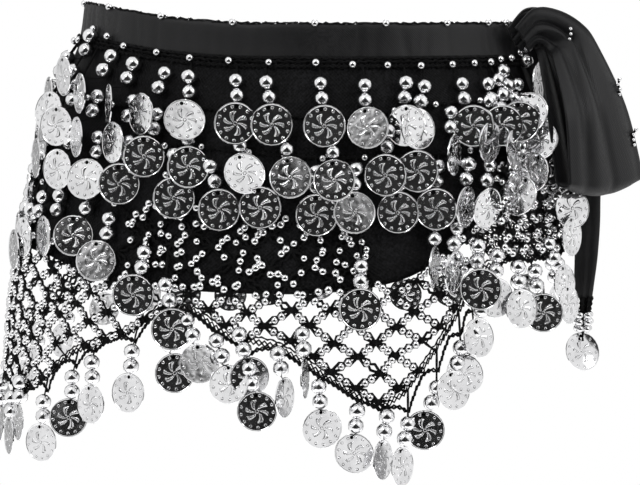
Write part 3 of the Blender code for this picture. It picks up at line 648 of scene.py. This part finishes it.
print("stage: trim")

# beaded crochet net
netPlan = {
    "cellWidth": 23.5, "cellHeight": 17.0, "rows": 40, "out": 3.1, "overlap": 4.0,
    # how far a knot strays, in degrees and in drop
    "stray": 0.7, "strayDrop": 1.7, "knot": 1.9, "knotHalf": 1.9, "knotEnd": 0.7,
    "strand": 0.88, "bow": 2.0, "waist": 0.7,
    "beadStep": 0.26, "beadOut": 0.7, "freeShare": 0.94, "clothShare": 0.85,
    # on the cloth the beads lie less evenly and look larger
    "loose": 2.6, "looseDrop": 2.0, "clothBead": 1.12,
    # where the net starts on the cloth
    "rise": ((-280, 50), (-258, 84), (-190, 88), (-110, 84), (-82, 104), (-66, 134), (-42, 136),
        (-38, 104), (-31, 84), (-22, 94), (2, 108), (10, 116), (15, 138), (24, 126), (34, 104), (44, 66),
        (60, 48)),
}
netDistances = ringDistances(151.0)


def beadedSide(paths, beads, start, end, outward, free):
    # one side of a cell: two thin strands that part round each bead
    run = end - start
    aside = outward.cross(run).normalized() * mm
    count = chance.choice((2, 2, 3))
    shares = [0.5 + (step - (count - 1) / 2) * netPlan["beadStep"] for step in range(count)]
    for flank in (-1, 1):
        places = [start]
        for step, at in enumerate(shares):
            places.append(start + run * at + aside * flank * (netPlan["bow"] * vary(0.9, 1.1)))
            if step < count - 1:
                middle = at + netPlan["beadStep"] / 2
                places.append(start + run * middle + aside * flank * netPlan["waist"])
        places.append(end)
        paths.append(([(place, netPlan["strand"]) for place in places], False))
    for at in shares:
        if chance.random() < (netPlan["freeShare"] if free else netPlan["clothShare"]):
            spot = start + run * at + outward * netPlan["beadOut"] * mm
            if not free:
                spot += aside * around(netPlan["loose"])
                spot += upward * around(netPlan["looseDrop"]) * mm
            size = vary(0.94, 1.08) * (1.0 if free else netPlan["clothBead"])
            placeBead(beads, smallBead, spot, size, outward)


def cutStrand(paths, start, angle, drop, aside, out):
    # a strand down to the net's edge, where the edge cuts the cell
    parts = 12
    for part in range(1, parts + 1):
        at = angle + aside * part / parts
        level = drop + netPlan["cellHeight"] / 2 * part / parts
        if level >= readTable(wornForm["netEdge"], at):
            paths.append((knobbly(between(start, hipPoint(at, level, out), 4), 0.6, 0.85), False))
            return


def crochetNet(name, angleFrom, angleTo, replaced, out, slip=0.0):
    width = netPlan["cellWidth"] / 2
    height = netPlan["cellHeight"] / 2
    knots = {}
    for column in range(int(netDistances[0][0] / width), int(netDistances[-1][0] / width) + 1):
        angle = readTable(netDistances, (column + slip) * width)
        if not angleFrom <= angle <= angleTo:
            continue
        edge = readTable(wornForm["netEdge"], angle)
        upper = readTable(netPlan["rise"], angle)
        for row in range(netPlan["rows"]):
            drop = row * height
            if (column + row) % 2 or drop < upper or drop > edge + height * 0.6:
                continue
            stray = around(netPlan["stray"])
            strayDrop = around(netPlan["strayDrop"])
            knots[(column, row)] = (angle + stray, min(drop + strayDrop, edge))
    paths = []
    beads = bmesh.new()
    knotHalf = upward * netPlan["knotHalf"] * mm
    for (column, row), (angle, drop) in knots.items():
        free = drop > readTable(wornForm["clothHem"], angle) - netPlan["overlap"]
        start = hipPoint(angle, drop, out)
        along, outward = facing(angle, drop)
        paths.append(([(start + knotHalf, netPlan["knotEnd"]), (start, netPlan["knot"]),
                       (start - knotHalf, netPlan["knotEnd"])], False))
        for side in (-1, 1):
            other = knots.get((column + side, row + 1))
            if other is not None:
                beadedSide(paths, beads, start, hipPoint(*other, out), outward, free)
            elif drop > readTable(wornForm["netEdge"], angle) - 3 * netPlan["cellHeight"]:
                aside = readTable(netDistances, (column + side + slip) * width) - angle
                cutStrand(paths, start, angle, drop, aside, out)
            if free:
                paths.append(threadLoop(start + along * side * 2.0 * mm, along, 1.4))
    print(name, "knots", len(knots))
    makeCords(name + "Crochet", paths, crochetBlack, "net_crochet", replaced)
    finishPiece(name + "Beads", beads, beadSilver, "fringe_silver")


crochetNet("netFront", wornForm["parting"] + 0.8, wornForm["end"] - 0.5, ("net_front",), netPlan["out"])
crochetNet("netBack", -272.0, wornForm["parting"] - 0.8, ("net_back",), netPlan["out"])
# the second layer of crochet beside the knot
crochetNet("netFold", 34.0, wornForm["end"] - 0.5, (), netPlan["out"] + 4.2, slip=0.45)
print("stage: crochet net")

# dangles: a thread, two round beads and a coin
rowOne = {
    "name": "coinRow1", "replaced": ("coin_row_1",), "path": ((-274, 24.5), (59, 24.5)),
    "from": -274, "to": 59, "hiddenTo": -77, "stripOut": 3.2, "beadOut": 6.2, "coinOut": 13.2,
    "slot": "row_silver",
    # angle, drop of the coin's middle, turn from the photo's side, tilt, and the sway of some
    "front": ((-66.8, 63.5, -50, 10), (-63.8, 42, -68, 0, 6), (-61, 70.5, -38, 2),
        (-54, 49.5, -74, 2, -28), (-44.5, 52.5, -82, 2, -12), (-35, 55, -55, 4, -15),
        (-25.2, 56, 10, 15), (-14.5, 56.5, 0, 3, -4), (-7.5, 57, 3, 3, 12), (2.5, 57.5, 0, 2, 11),
        (10.8, 58.5, -9, 14, 12), (18.2, 57.5, -26, 12, 4), (20.8, 59.5, 38, 8, -14), (32.5, 58.5, 1, 3),
        (40.5, 59, 3, 4), (45, 57, 8, 3), (48.5, 52, -28, 12), (53, 60, 66, 4), (58, 35, 72, 2, -42)),
}
rowTwo = {
    "name": "coinRow2", "replaced": ("coin_row_2",),
    "path": ((-270, 45), (-200, 50), (-100, 46), (-60, 52), (-48, 54), (-24, 49), (4, 54), (28, 46),
        (54, 43)),
    "from": -270, "to": 54, "hiddenTo": -74, "stripOut": 3.2, "beadOut": 6.1, "coinOut": 12.6,
    "slot": "row_silver",
    "front": ((-67.5, 91.5, -78, 2), (-58, 95, -46, 2), (-51.8, 74, -74, 2, -8), (-47.8, 96.5, -22, 14),
        (-41, 73, -60, 3, -13), (-38.8, 96, 0, 3), (-33, 78.5, 1, 3), (-23.5, 82, 2, 3),
        (-12.2, 84, 16, 19, 13), (-3.8, 86, -9, 14, 12), (4.2, 87.5, -8, 13, 8), (13.8, 85, 1, 3, 2),
        (19.8, 83, 3, 4), (27.6, 74.5, 72, -2), (36, 68, 60, -3, -24), (43, 73, 66, 4, 14),
        (45.5, 86, -34, 10, -24), (49.5, 68, -24, 16), (52, 83, 30, 6)),
}
rowThree = {
    "name": "coinRow3", "replaced": ("coin_row_3",),
    "path": ((-258, 70), (-190, 74), (-110, 70), (-60, 92), (-46, 92), (-34, 74), (-26, 70), (2, 76),
        (23, 75), (46, 70)),
    "from": -258, "to": 46, "hiddenTo": -78, "stripOut": 3.2, "beadOut": 6.1, "coinOut": 11.0,
    "slot": "row_silver",
    "front": ((-71.2, 147.5, -76, 2), (-66, 138, -66, 2), (-58.8, 134.5, -70, 2),
        (-48.5, 129.5, -12, 13), (-41.8, 141, -14, 14), (-26, 100, 0, 3), (-17, 105, 1, 3),
        (-9.2, 103, -5, 4), (1, 107, 0, 2), (7.8, 105.5, 11, 13), (16, 106, 0, 3), (23.2, 104.5, 2, 3),
        (29.5, 104, 64, -3), (34, 105, 50, -10, -8), (41.2, 98.5, -30, 14, -24)),
}
rowFourLeft = {
    "name": "coinRow4Left", "replaced": ("coin_row_4_left",),
    "path": ((-250, 96), (-190, 98), (-150, 97), (-90, 104), (-62, 107), (-48, 101), (-41, 109),
        (-22, 141)),
    "from": -250, "to": -22, "hiddenTo": -76, "stripOut": 4.2, "beadOut": 6.8, "coinOut": 12.0,
    "slot": "row_silver",
    "front": ((-32, 156.5, 0, 3), (-23.5, 172.5, 2, 3)),
}
rowFourRight = {
    "name": "coinRow4Right", "replaced": ("coin_row_4_right",),
    "path": ((6, 126), (15, 108), (23, 102), (32, 117), (47, 104)),
    "from": 6, "to": 47, "hiddenTo": 0, "stripOut": 4.2, "beadOut": 6.8, "coinOut": 12.0,
    "slot": "row_silver",
    "front": ((8.2, 159, 5, 4), (21.5, 136.5, 76, -1), (25.5, 139.5, 64, -4), (30, 150, 0, 3),
        (57, 125, 62, 2), (58.6, 109, 34, 8)),
}
hemFront = {
    "name": "hemFringeFront", "replaced": ("hem_fringe_front",), "path": wornForm["netEdge"],
    "from": -109, "to": 59, "hiddenTo": -68, "stripOut": 3.6, "beadOut": 7.4, "coinOut": 9.5,
    "slot": "fringe_silver", "coinSize": 0.95,
    "front": ((-63, 247.5, -74, 2), (-53.2, 253.5, -38, 4, 8), (-45.5, 234, -12, 14),
        (-39.8, 222.5, -48, 4, 12), (-32.2, 212.5, -36, 6), (-23, 197.5, 3, 4), (-18.8, 191, 12, 14),
        (-13.5, 201.5, -16, 20), (-10.2, 197.5, 12, 2), (-8.8, 216.5, 0, 3), (-4.2, 207.5, 63, 2),
        (-1, 196.5, 79, 2), (1.8, 226, -16, 20), (7, 240, 15, 21), (11.5, 243.5, 62, 3),
        (14.8, 248, 57, 3), (19, 228.5, 0, 3), (24, 206.5, 35, 8), (26.5, 198, 24, 16),
        (29.2, 177.5, 42, 8), (33.8, 156, 30, 3), (38.8, 163, 38, 6), (43.8, 166.5, 1, 3),
        (51, 151.5, 58, 4), (52, 164, 60, 4)),
}
hemBack = {
    "name": "hemFringeBack", "replaced": ("hem_fringe_back",), "path": wornForm["netEdge"],
    "from": -272, "to": -111, "hiddenFrom": -241, "hiddenTo": -111, "stripOut": 3.6, "beadOut": 7.4,
    "coinOut": 9.5, "slot": "fringe_silver", "coinSize": 0.95, "front": (),
}
hiddenDangles = {"pitch": 25.0, "firstGap": 6.0, "lastGap": 2.0, "length": 33.0, "longer": 1.4, "turn": 9.0,
                 "tilt": 4.0, "strayTilt": 3.0, "stray": 0.8, "sway": 9.0, "coinOut": 11.5, "beadOut": 6.2}
# where the hip turns away at the photo's left the dangles lie close to the cloth
edgeDangles = {"from": -112.0, "coinOut": 6.8, "beadOut": 6.0}
viewer = Vector((0.005, -1.25, 0.0))
danglePlan = {
    # the root is moved by a share of the sway and by a share of the angle, to hang plumb as seen
    "swayRoot": 0.11,
    "plumb": ((-30, 0.0), (-22, 0.15), (-16, 0.2), (18, 0.2), (32, 0.11), (42, 0.055), (50, 0.0)),
    # least drop of the coin's middle below its root, least space behind a coin, and by turns its lift
    "shortest": 29.0, "clear": 3.6, "lifts": (-0.6, 1.0),
    # the coin's hole, the ring above the coin and the two beads
    "hole": 0.8, "ring": 3.2, "beadGap": 8.5, "lowShare": 0.55, "highShare": 0.25, "sewnPitch": 26.0,
}
# out from the strip, stitch, thin, thick and waver of the crocheted chains
rowChains = {"row": (-0.3, 1.6, 0.5, 0.9, 0.7), "hem": (-0.3, 1.6, 0.5, 0.62, 1.6),
             "aboveHem": (-0.6, 1.7, 0.4, 0.6, 0.5), "scallop": (0.5, 1.6, 0.6, 0.8, 0.9)}
crossing = ((pi / 2, 0.0), (pi / 2, pi))
scallops = {"reach": 1.7, "least": 1.5, "most": 13.0, "hang": 29.4, "below": 0.8}


def rootOf(angle, sway):
    return angle - sway * danglePlan["swayRoot"] + angle * readTable(danglePlan["plumb"], angle)


def turned(level, degrees):
    return Matrix.Rotation(radians(degrees), 3, "Z") @ level


def hangDangle(coins, beads, paths, row, outs, dangle, lift):
    # a coin that hangs from two beads on a thread, tilted out and swayed aside
    angle, drop, level, tilt, sway = dangle
    rootAngle = rootOf(angle, sway)
    rootDrop = min(readTable(row["path"], rootAngle), drop - danglePlan["shortest"])
    lean = radians(tilt)
    swing = radians(sway)
    across = Vector((-level.y, level.x, 0.0))
    normal = level * cos(lean) + upward * sin(lean)
    up = upward * cos(lean) - level * sin(lean)
    across, up = (across * cos(swing) + up * sin(swing),
                  up * cos(swing) - across * sin(swing))
    clear = danglePlan["clear"] + coinPlan["radius"] * abs(level.dot(facing(angle, drop)[0]))
    centre = hipPoint(angle, drop, max(outs["coinOut"] + lift, clear))
    placeCoin(coins, centre, across, up, normal, row.get("coinSize", 1.0))
    hole = centre + up * danglePlan["hole"] * coinPlan["radius"] * mm
    lowDrop = drop - coinPlan["radius"] * cos(swing) - danglePlan["ring"]
    lowBead = hipPoint(rootAngle + (angle - rootAngle) * danglePlan["lowShare"], lowDrop,
                       outs["beadOut"] + 0.3 * lift)
    highBead = hipPoint(rootAngle + (angle - rootAngle) * danglePlan["highShare"],
                        lowDrop - danglePlan["beadGap"], outs["beadOut"])
    root = hipPoint(rootAngle, rootDrop, row["stripOut"])
    placeBead(beads, largeBead, highBead, vary(0.94, 1.02))
    placeBead(beads, largeBead, lowBead, vary(0.95, 1.03))
    paths.append((knobbly(between(root, highBead, 4) + [lowBead], 0.55, 0.75), False))
    paths.append(([(lowBead, 0.4), (lowBead - upward * 4.6 * mm, 0.36), (hole + normal * 0.9 * mm, 0.32),
                   (hole - normal * 0.6 * mm, 0.32)], False))


def frontDangles(row):
    # angle, drop, the way the coin faces, tilt and sway of each dangle that the photo shows
    dangles = []
    for angle, drop, turn, tilt, *given in row["front"]:
        toward = viewer - hipPoint(angle, drop, 0)
        toward.z = 0.0
        sway = given[0] if given else vary(3, 10) if angle > -30 else vary(-3, 3)
        dangles.append((angle, drop, turned(toward.normalized(), turn), tilt, sway))
    return dangles


def roundDangles(row, distances, backwards):
    # the same for the dangles that go on round the hip at an even pitch
    low = readTable(backwards, row.get("hiddenFrom", row["from"])) + hiddenDangles["firstGap"]
    high = readTable(backwards, row["hiddenTo"]) - hiddenDangles["lastGap"]
    count = int((high - low) / hiddenDangles["pitch"]) + 1 if row["hiddenTo"] < 0 else 0
    dangles = []
    for index in range(count):
        angle = readTable(distances, low + index / (count - 1) * (high - low))
        angle += around(hiddenDangles["stray"])
        drop = readTable(row["path"], angle) + hiddenDangles["length"]
        drop += vary(-hiddenDangles["stray"], hiddenDangles["longer"])
        level = turned(facing(angle, drop)[1], around(hiddenDangles["turn"]))
        dangles.append((angle, drop, level, hiddenDangles["tilt"] + around(hiddenDangles["strayTilt"]),
                        around(hiddenDangles["sway"])))
    return dangles


def addChains(paths, row, kind, path, strands=crossing):
    out, *strand = rowChains[kind]
    for beat, phase in strands:
        paths.append(chainAlong(path, row["from"], row["to"], row["stripOut"] + out, *strand, beat, phase))


def buildDangles(row):
    coins = bmesh.new()
    coins.loops.layers.uv.new("cloth")
    beads = bmesh.new()
    paths = []
    distances = ringDistances(readTable(row["path"], row["from"]) + 20)
    backwards = [(angle, distance) for distance, angle in distances]
    dangles = frontDangles(row)
    dangles += roundDangles(row, distances, backwards)
    dangles.sort(key=lambda dangle: dangle[0])
    for index, dangle in enumerate(dangles):
        outs = row
        if dangle[0] < row["hiddenTo"] + 1:
            outs = hiddenDangles if dangle[0] < edgeDangles["from"] else edgeDangles
        hangDangle(coins, beads, paths, row, outs, dangle, danglePlan["lifts"][index % 2])

    def along(angle):
        return readTable(row["path"], angle)

    if row["path"] is wornForm["netEdge"]:
        addChains(paths, row, "hem", along)
        addChains(paths, row, "aboveHem", lambda angle: along(angle) - 3.0, ((1.9, 0.0),))
        roots = []
        for angle, drop, level, tilt, sway in dangles:
            at = rootOf(angle, sway)
            depth = max(scallops["least"], min(scallops["most"], drop - scallops["hang"] - along(at)))
            roots.append((at, depth))

        def scallop(angle):
            # the edge dips to each dangle
            dips = [depth * exp(-abs(angle - at) / scallops["reach"]) for at, depth in roots]
            return along(angle) + scallops["below"] + max(dips)

        addChains(paths, row, "scallop", scallop)
    else:
        addChains(paths, row, "row", along)
        distance = readTable(backwards, row["from"]) + 4.0
        # the first row has no beads sewn between its dangles
        while readTable(distances, distance) < row["to"] and row is not rowOne:
            angle = readTable(distances, distance)
            placeBead(beads, trimBead, hipPoint(angle, along(angle), row["stripOut"] + 1.4),
                      vary(0.85, 0.98), facing(angle, 80)[1])
            distance += danglePlan["sewnPitch"] * vary(0.7, 1.3)
    print(row["name"], "coins", len(dangles))
    finishPiece(row["name"], coins, coinSilver, row["slot"], row["replaced"], sharp=20)
    finishPiece(row["name"] + "Beads", beads, beadSilver, row["slot"])
    makeCords(row["name"] + "Crochet", paths, crochetBlack, "net_crochet")


for dangleRow in (rowOne, rowTwo, rowThree, rowFourLeft, rowFourRight, hemFront, hemBack):
    buildDangles(dangleRow)
print("stage: dangles")

# knot, loop and tail of the half bow
knotPlan = {
    # angle, middle, half height, inner and outer reach
    "rows": ((60.3, 26, 24, -0.5, 9), (62.5, 18, 17, -3, 13.4), (66, 14, 17.5, -5, 15),
             (69, 13, 15, -4, 11.5), (72, 14, 17.5, -5, 13), (76, 17, 16.5, -3, 9),
             (79.7, 26, 24, -0.5, 4)),
    "grid": (40, 96), "flat": (0.062, 0.095), "slant": 0.1, "endPleat": 0.35,
    # place round the bundle, width, height of each pleat
    "pleats": ((0.06, 0.03, 1.2), (0.15, 0.03, -1.0), (0.24, 0.035, 1.4), (0.34, 0.03, -1.1),
        (0.62, 0.03, 1.0), (0.72, 0.035, -1.2), (0.82, 0.03, 1.3), (0.92, 0.03, -1.1)),
}


def knotPlace(u, v):
    rows = knotPlan["rows"]
    angle, middle, half, inner, outer = readColumns(rows, u * (len(rows) - 1))
    turn = 2 * pi * v
    relief = 0.0
    for place, width, height in knotPlan["pleats"]:
        away = (v + knotPlan["slant"] * (u - 0.5) - place + 0.5) % 1.0 - 0.5
        relief += height * swell(away / width)
    relief *= knotPlan["endPleat"] + (1 - knotPlan["endPleat"]) * sin(pi * u)
    return hipPoint(angle, middle - (half + relief) * sin(turn),
                    (inner + outer) / 2 + ((outer - inner) / 2 + relief) * cos(turn))


knotWork = layCloth(*knotPlan["grid"], lambda u, v: knotPlace(u, v % 1.0), knotPlan["flat"], closed=True)
finishPiece("knotBundle", knotWork, loopSatin, "knot_satin", ("knot",))

loopPlan = {
    # inner edge, outer edge and the space between the layers, from the knot down
    "rows": ((125, -61, -5.4, 116.5, -67, 8.6, 3), (129, -60, -1, 127.5, -65, 20, 4),
             (132.5, -59, -1, 142, -58, 19, 5), (135, -59, -4.3, 156, -52, 11, 7),
             (137, -69, -11, 165, -50, -1.5, 9), (141, -90, -41, 181, -50, -37, 12),
             (145, -91, -80, 194, -48, -79, 8)),
    "facing": 38.0, "foldDrop": 3.0, "foldSag": 7.0, "bulge": 1.6, "out": 1.9, "thickness": 1.2,
    "grid": (44, 170), "flat": (0.052, 0.30), "foldStray": 0.03,
    # share across, width and height of the soft folds that fan out of the knot
    "ridges": ((0.10, 0.07, 0.9), (0.24, 0.06, -2.2), (0.40, 0.09, 1.9), (0.56, 0.05, -2.4),
        (0.78, 0.14, 1.2), (0.93, 0.04, -0.7)),
    # how high the folds are at each row
    "ridgeHeight": ((0, 0.4), (1, 0.8), (2.5, 1.0), (4, 0.9), (6, 0.45)),
    # scraps of beaded trim left on the cloth: place across, place down from the knot, beads
    "scraps": ((0.995, 4.72, 5), (0.995, 5.42, 4), (0.66, 2.9, 3)),
}


def loopPlace(u, v):
    last = len(loopPlan["rows"]) - 1
    path = (1 - v) * (2 * last + 1)
    if path <= last:
        at, layer, sag = path, 1.0, 0.0
    elif path >= last + 1:
        at, layer, sag = 2 * last + 1 - path, -1.0, 0.0
    else:
        at, layer, sag = last, cos(pi * (path - last)), sin(pi * (path - last))
    *edges, space = readColumns(loopPlan["rows"], at)
    turn = radians(loopPlan["facing"])
    outward = Vector((sin(turn), -cos(turn), 0.0))
    crown = sin(pi * u)
    relief = 0.0
    for place, width, height in loopPlan["ridges"]:
        middle = place + loopPlan["foldStray"] * sin(at * 1.3 + place * 9)
        relief += height * swell((u - middle) / width)
    relief *= readTable(loopPlan["ridgeHeight"], at)
    reach = layer * (space / 2 + loopPlan["out"] + loopPlan["bulge"] * crown) + relief
    place = Vector(edges[:3]).lerp(Vector(edges[3:]), u) + outward * reach
    place.z -= sag * (loopPlan["foldDrop"] + loopPlan["foldSag"] * crown)
    return place * mm


loop = finishPiece("knotLoop", layCloth(*loopPlan["grid"], loopPlace, loopPlan["flat"]), loopSatin,
                   "knot_satin", ("knot_loop",))
addThickness(loop, loopPlan["thickness"])
loopBeads = bmesh.new()
loopPaths = []
for across, down, count in loopPlan["scraps"]:
    spot = loopPlace(across, 1 - down / (2 * len(loopPlan["rows"]) - 1))
    ring = []
    for index in range(count):
        away = Vector((vary(-1.5, 1.5), -1.6, (index - count / 2) * 3.0))
        ring.append((spot + away * mm, 0.7))
        placeBead(loopBeads, tinyBead, spot + (away + Vector((vary(-1, 1), -0.9, 0))) * mm, 1.15)
    loopPaths.append((ring, False))
finishPiece("loopBeads", loopBeads, beadSilver, "row_silver")
makeCords("loopCrochet", loopPaths, crochetBlack, "trim_crochet")

tailPlan = {
    "rows": ((147.2, -31.6, -20.7, 6, 2.6), (165, -27, -60, 8.5, 2.3), (168.2, -24, -100, 8, 2.1),
             (168, -24, -128, 7.2, 2), (166.8, -24, -148, 6.2, 1.9), (166.4, -24, -156, 5.6, 1.8)),
    "grid": (36, 60), "flat": (0.03, 0.145),
    # depth, place and width of the groove down its front
    "groove": (0.35, 0.25, 0.16),
}


def tailPlace(u, v):
    rows = tailPlan["rows"]
    x, y, z, wide, deep = readColumns(rows, (1 - v) * (len(rows) - 1))
    turn = 2 * pi * u
    depth, place, width = tailPlan["groove"]
    groove = 1.0 - depth * swell((cos(turn) - place) / width)
    return Vector((x + wide * cos(turn), y + deep * sin(turn) * groove, z)) * mm


tailWork = layCloth(*tailPlan["grid"], lambda u, v: tailPlace(u % 1.0, v), tailPlan["flat"], closed=True)
finishPiece("knotTail", tailWork, loopSatin, "knot_satin", ("knot_tail",))

# the tail's crocheted tip, its cluster of beads and its coin
tailTip = {
    "at": (166.5, -24.0, -157.0), "strands": 7, "threadFrom": -8, "threadTo": -26,
    # five stacks of beads: the drop and the reach of each bead
    "stacks": 5, "stack": ((-9.5, 4.1), (-13.8, 4.4), (-18.0, 3.4)),
    "coinNormal": (0.40, -0.86, 0.26), "coinDrop": 32.5,
}
tipCoins = bmesh.new()
tipCoins.loops.layers.uv.new("cloth")
tipBeads = bmesh.new()
tipPaths = []
tipAt = Vector(tailTip["at"]) * mm
for index in range(tailTip["strands"]):
    turn = 2 * pi * index / tailTip["strands"]
    side = Vector((cos(turn), 0.5 * sin(turn), 0))
    high = tipAt + (side * 5.2 + upward * 2) * mm
    low = tipAt + (side * 3.4 - upward * 9) * mm
    tipPaths.append((knobbly(between(high, low, 8), 0.8, 1.5), False))
    tipPaths.append(threadLoop(low, Vector((1, 0, 0)), 1.8))
for index in range(tailTip["stacks"]):
    turn = 2 * pi * index / tailTip["stacks"] + 0.3
    for level, reach in tailTip["stack"]:
        away = Vector((cos(turn) * reach, sin(turn) * reach, level)) * mm
        placeBead(tipBeads, trimBead, tipAt + away, 1.05)
for top, end, count, thin, thick in ((2, -11, 7, 1.6, 2.4),
                                     (tailTip["threadFrom"], tailTip["threadTo"], 8, 0.5, 0.8)):
    core = between(tipAt + upward * top * mm, tipAt + upward * end * mm, count)
    tipPaths.append((knobbly(core, thin, thick), False))
tipNormal = Vector(tailTip["coinNormal"]).normalized()
tipAcross = upward.cross(tipNormal).normalized()
placeCoin(tipCoins, tipAt - upward * tailTip["coinDrop"] * mm, tipAcross,
          tipNormal.cross(tipAcross).normalized(), tipNormal)
finishPiece("tailTipCoin", tipCoins, coinSilver, "fringe_silver", ("tail_tip",), sharp=32)
finishPiece("tailTipBeads", tipBeads, beadSilver, "fringe_silver")
makeCords("tailTipCrochet", tipPaths, crochetBlack, "net_crochet")
print("stage: half bow")

# floor, light and camera
studio = {
    "floorSize": 1.05, "floorHeight": -0.9, "floorPatches": 3.0, "floorRoughness": 0.9,
    "floorColours": ((0.86, 0.86, 0.86), (0.9, 0.9, 0.9)), "floorGlow": 0.25, "white": 1.0,
    # place, size and power of the soft lamps
    "lamps": (((-0.9, -1.5, 1.5), 0.7, 9.0), ((1.4, -1.0, 0.9), 0.5, 5.0), ((0.2, 1.5, 1.3), 0.8, 7.0)),
    # what mirrors see: a dark, triangular front, bright sides and a dimmer back
    "darkTop": 0.80, "darkSlope": 0.95, "darkEdge": (-0.05, 0.07), "under": (-0.60, -0.70),
    "back": (0.50, 0.85), "backDimmer": 0.50, "sideGlow": 0.84, "darkGlow": 0.012,
}
floorWork = bmesh.new()
bmesh.ops.create_grid(floorWork, x_segments=2, y_segments=2, size=studio["floorSize"])
bmesh.ops.translate(floorWork, vec=(0, 0, studio["floorHeight"]), verts=floorWork.verts)
floor = bpy.data.objects.new("studioFloor", meshFrom(floorWork, "studioFloor"))
scene.collection.objects.link(floor)
floorMaterial, floorTree, floorShader = newMaterial("paleFloor")
floorPlace = placeNode(floorTree, "TexCoord", {}, {})
floorCloud = addNoise(floorTree, floorPlace.outputs["Object"], studio["floorPatches"])
floorTree.links.new(mixColours(floorTree, floorCloud, *studio["floorColours"]),
                    floorShader.inputs["Base Color"])
floorShader.inputs["Roughness"].default_value = studio["floorRoughness"]
floorShader.inputs["Emission Color"].default_value = (1, 1, 1, 1)
floorShader.inputs["Emission Strength"].default_value = studio["floorGlow"]
floor.data.materials.append(floorMaterial)

world = bpy.data.worlds.new("studioWorld")
scene.world = world
world.use_nodes = True
sky = world.node_tree
background = sky.nodes["Background"]
maths = mathsIn(sky)
direction = placeNode(sky, "TexCoord", {}, {})
parts = placeNode(sky, "SeparateXYZ", {}, {0: direction.outputs["Generated"]})
x, y, z = [parts.outputs[axis] for axis in ("X", "Y", "Z")]
towards = maths("ARCTAN2", maths("ABSOLUTE", x), maths("MULTIPLY", y, -1.0))
halfWidth = maths("MULTIPLY", maths("SUBTRACT", studio["darkTop"], z), studio["darkSlope"])
sides = rampBetween(sky, maths("SUBTRACT", towards, halfWidth), *studio["darkEdge"])
bright = maths("MAXIMUM", sides, rampBetween(sky, z, *studio["under"]))
far = maths("MULTIPLY", rampBetween(sky, y, *studio["back"]), studio["backDimmer"])
glow = maths("ADD", maths("MULTIPLY", bright, maths("SUBTRACT", studio["sideGlow"], far)),
             studio["darkGlow"])
rays = placeNode(sky, "LightPath", {}, {})
strength = placeNode(sky, "Mix", {"data_type": "FLOAT"},
                     {0: rays.outputs["Is Glossy Ray"], 2: studio["white"], 3: glow}).outputs[0]
sky.links.new(strength, background.inputs["Strength"])
background.inputs["Color"].default_value = (1, 1, 1, 1)
for index, (place, size, power) in enumerate(studio["lamps"]):
    lamp = bpy.data.lights.new("softLamp%d" % index, "AREA")
    lamp.size = size
    lamp.energy = power
    lampObject = bpy.data.objects.new("softLamp%d" % index, lamp)
    lampObject.location = place
    lampObject.rotation_euler = (-Vector(place)).to_track_quat("-Z", "Y").to_euler()
    scene.collection.objects.link(lampObject)

shot = {"place": (0.00496, -1.25, 0.012), "pitch": 83.76, "lens": 113.4, "sensor": 36.0}
camera = bpy.data.cameras.new("photoCamera")
camera.lens = shot["lens"]
camera.sensor_width = shot["sensor"]
cameraObject = bpy.data.objects.new("photoCamera", camera)
cameraObject.location = shot["place"]
cameraObject.rotation_euler = (radians(shot["pitch"]), 0.0, 0.0)
scene.collection.objects.link(cameraObject)
scene.camera = cameraObject
scene.view_settings.view_transform = "Standard"
print("stage: studio")

for unused in (coinMesh, largeBead, trimBead, smallBead, tinyBead):
    bpy.data.meshes.remove(unused)
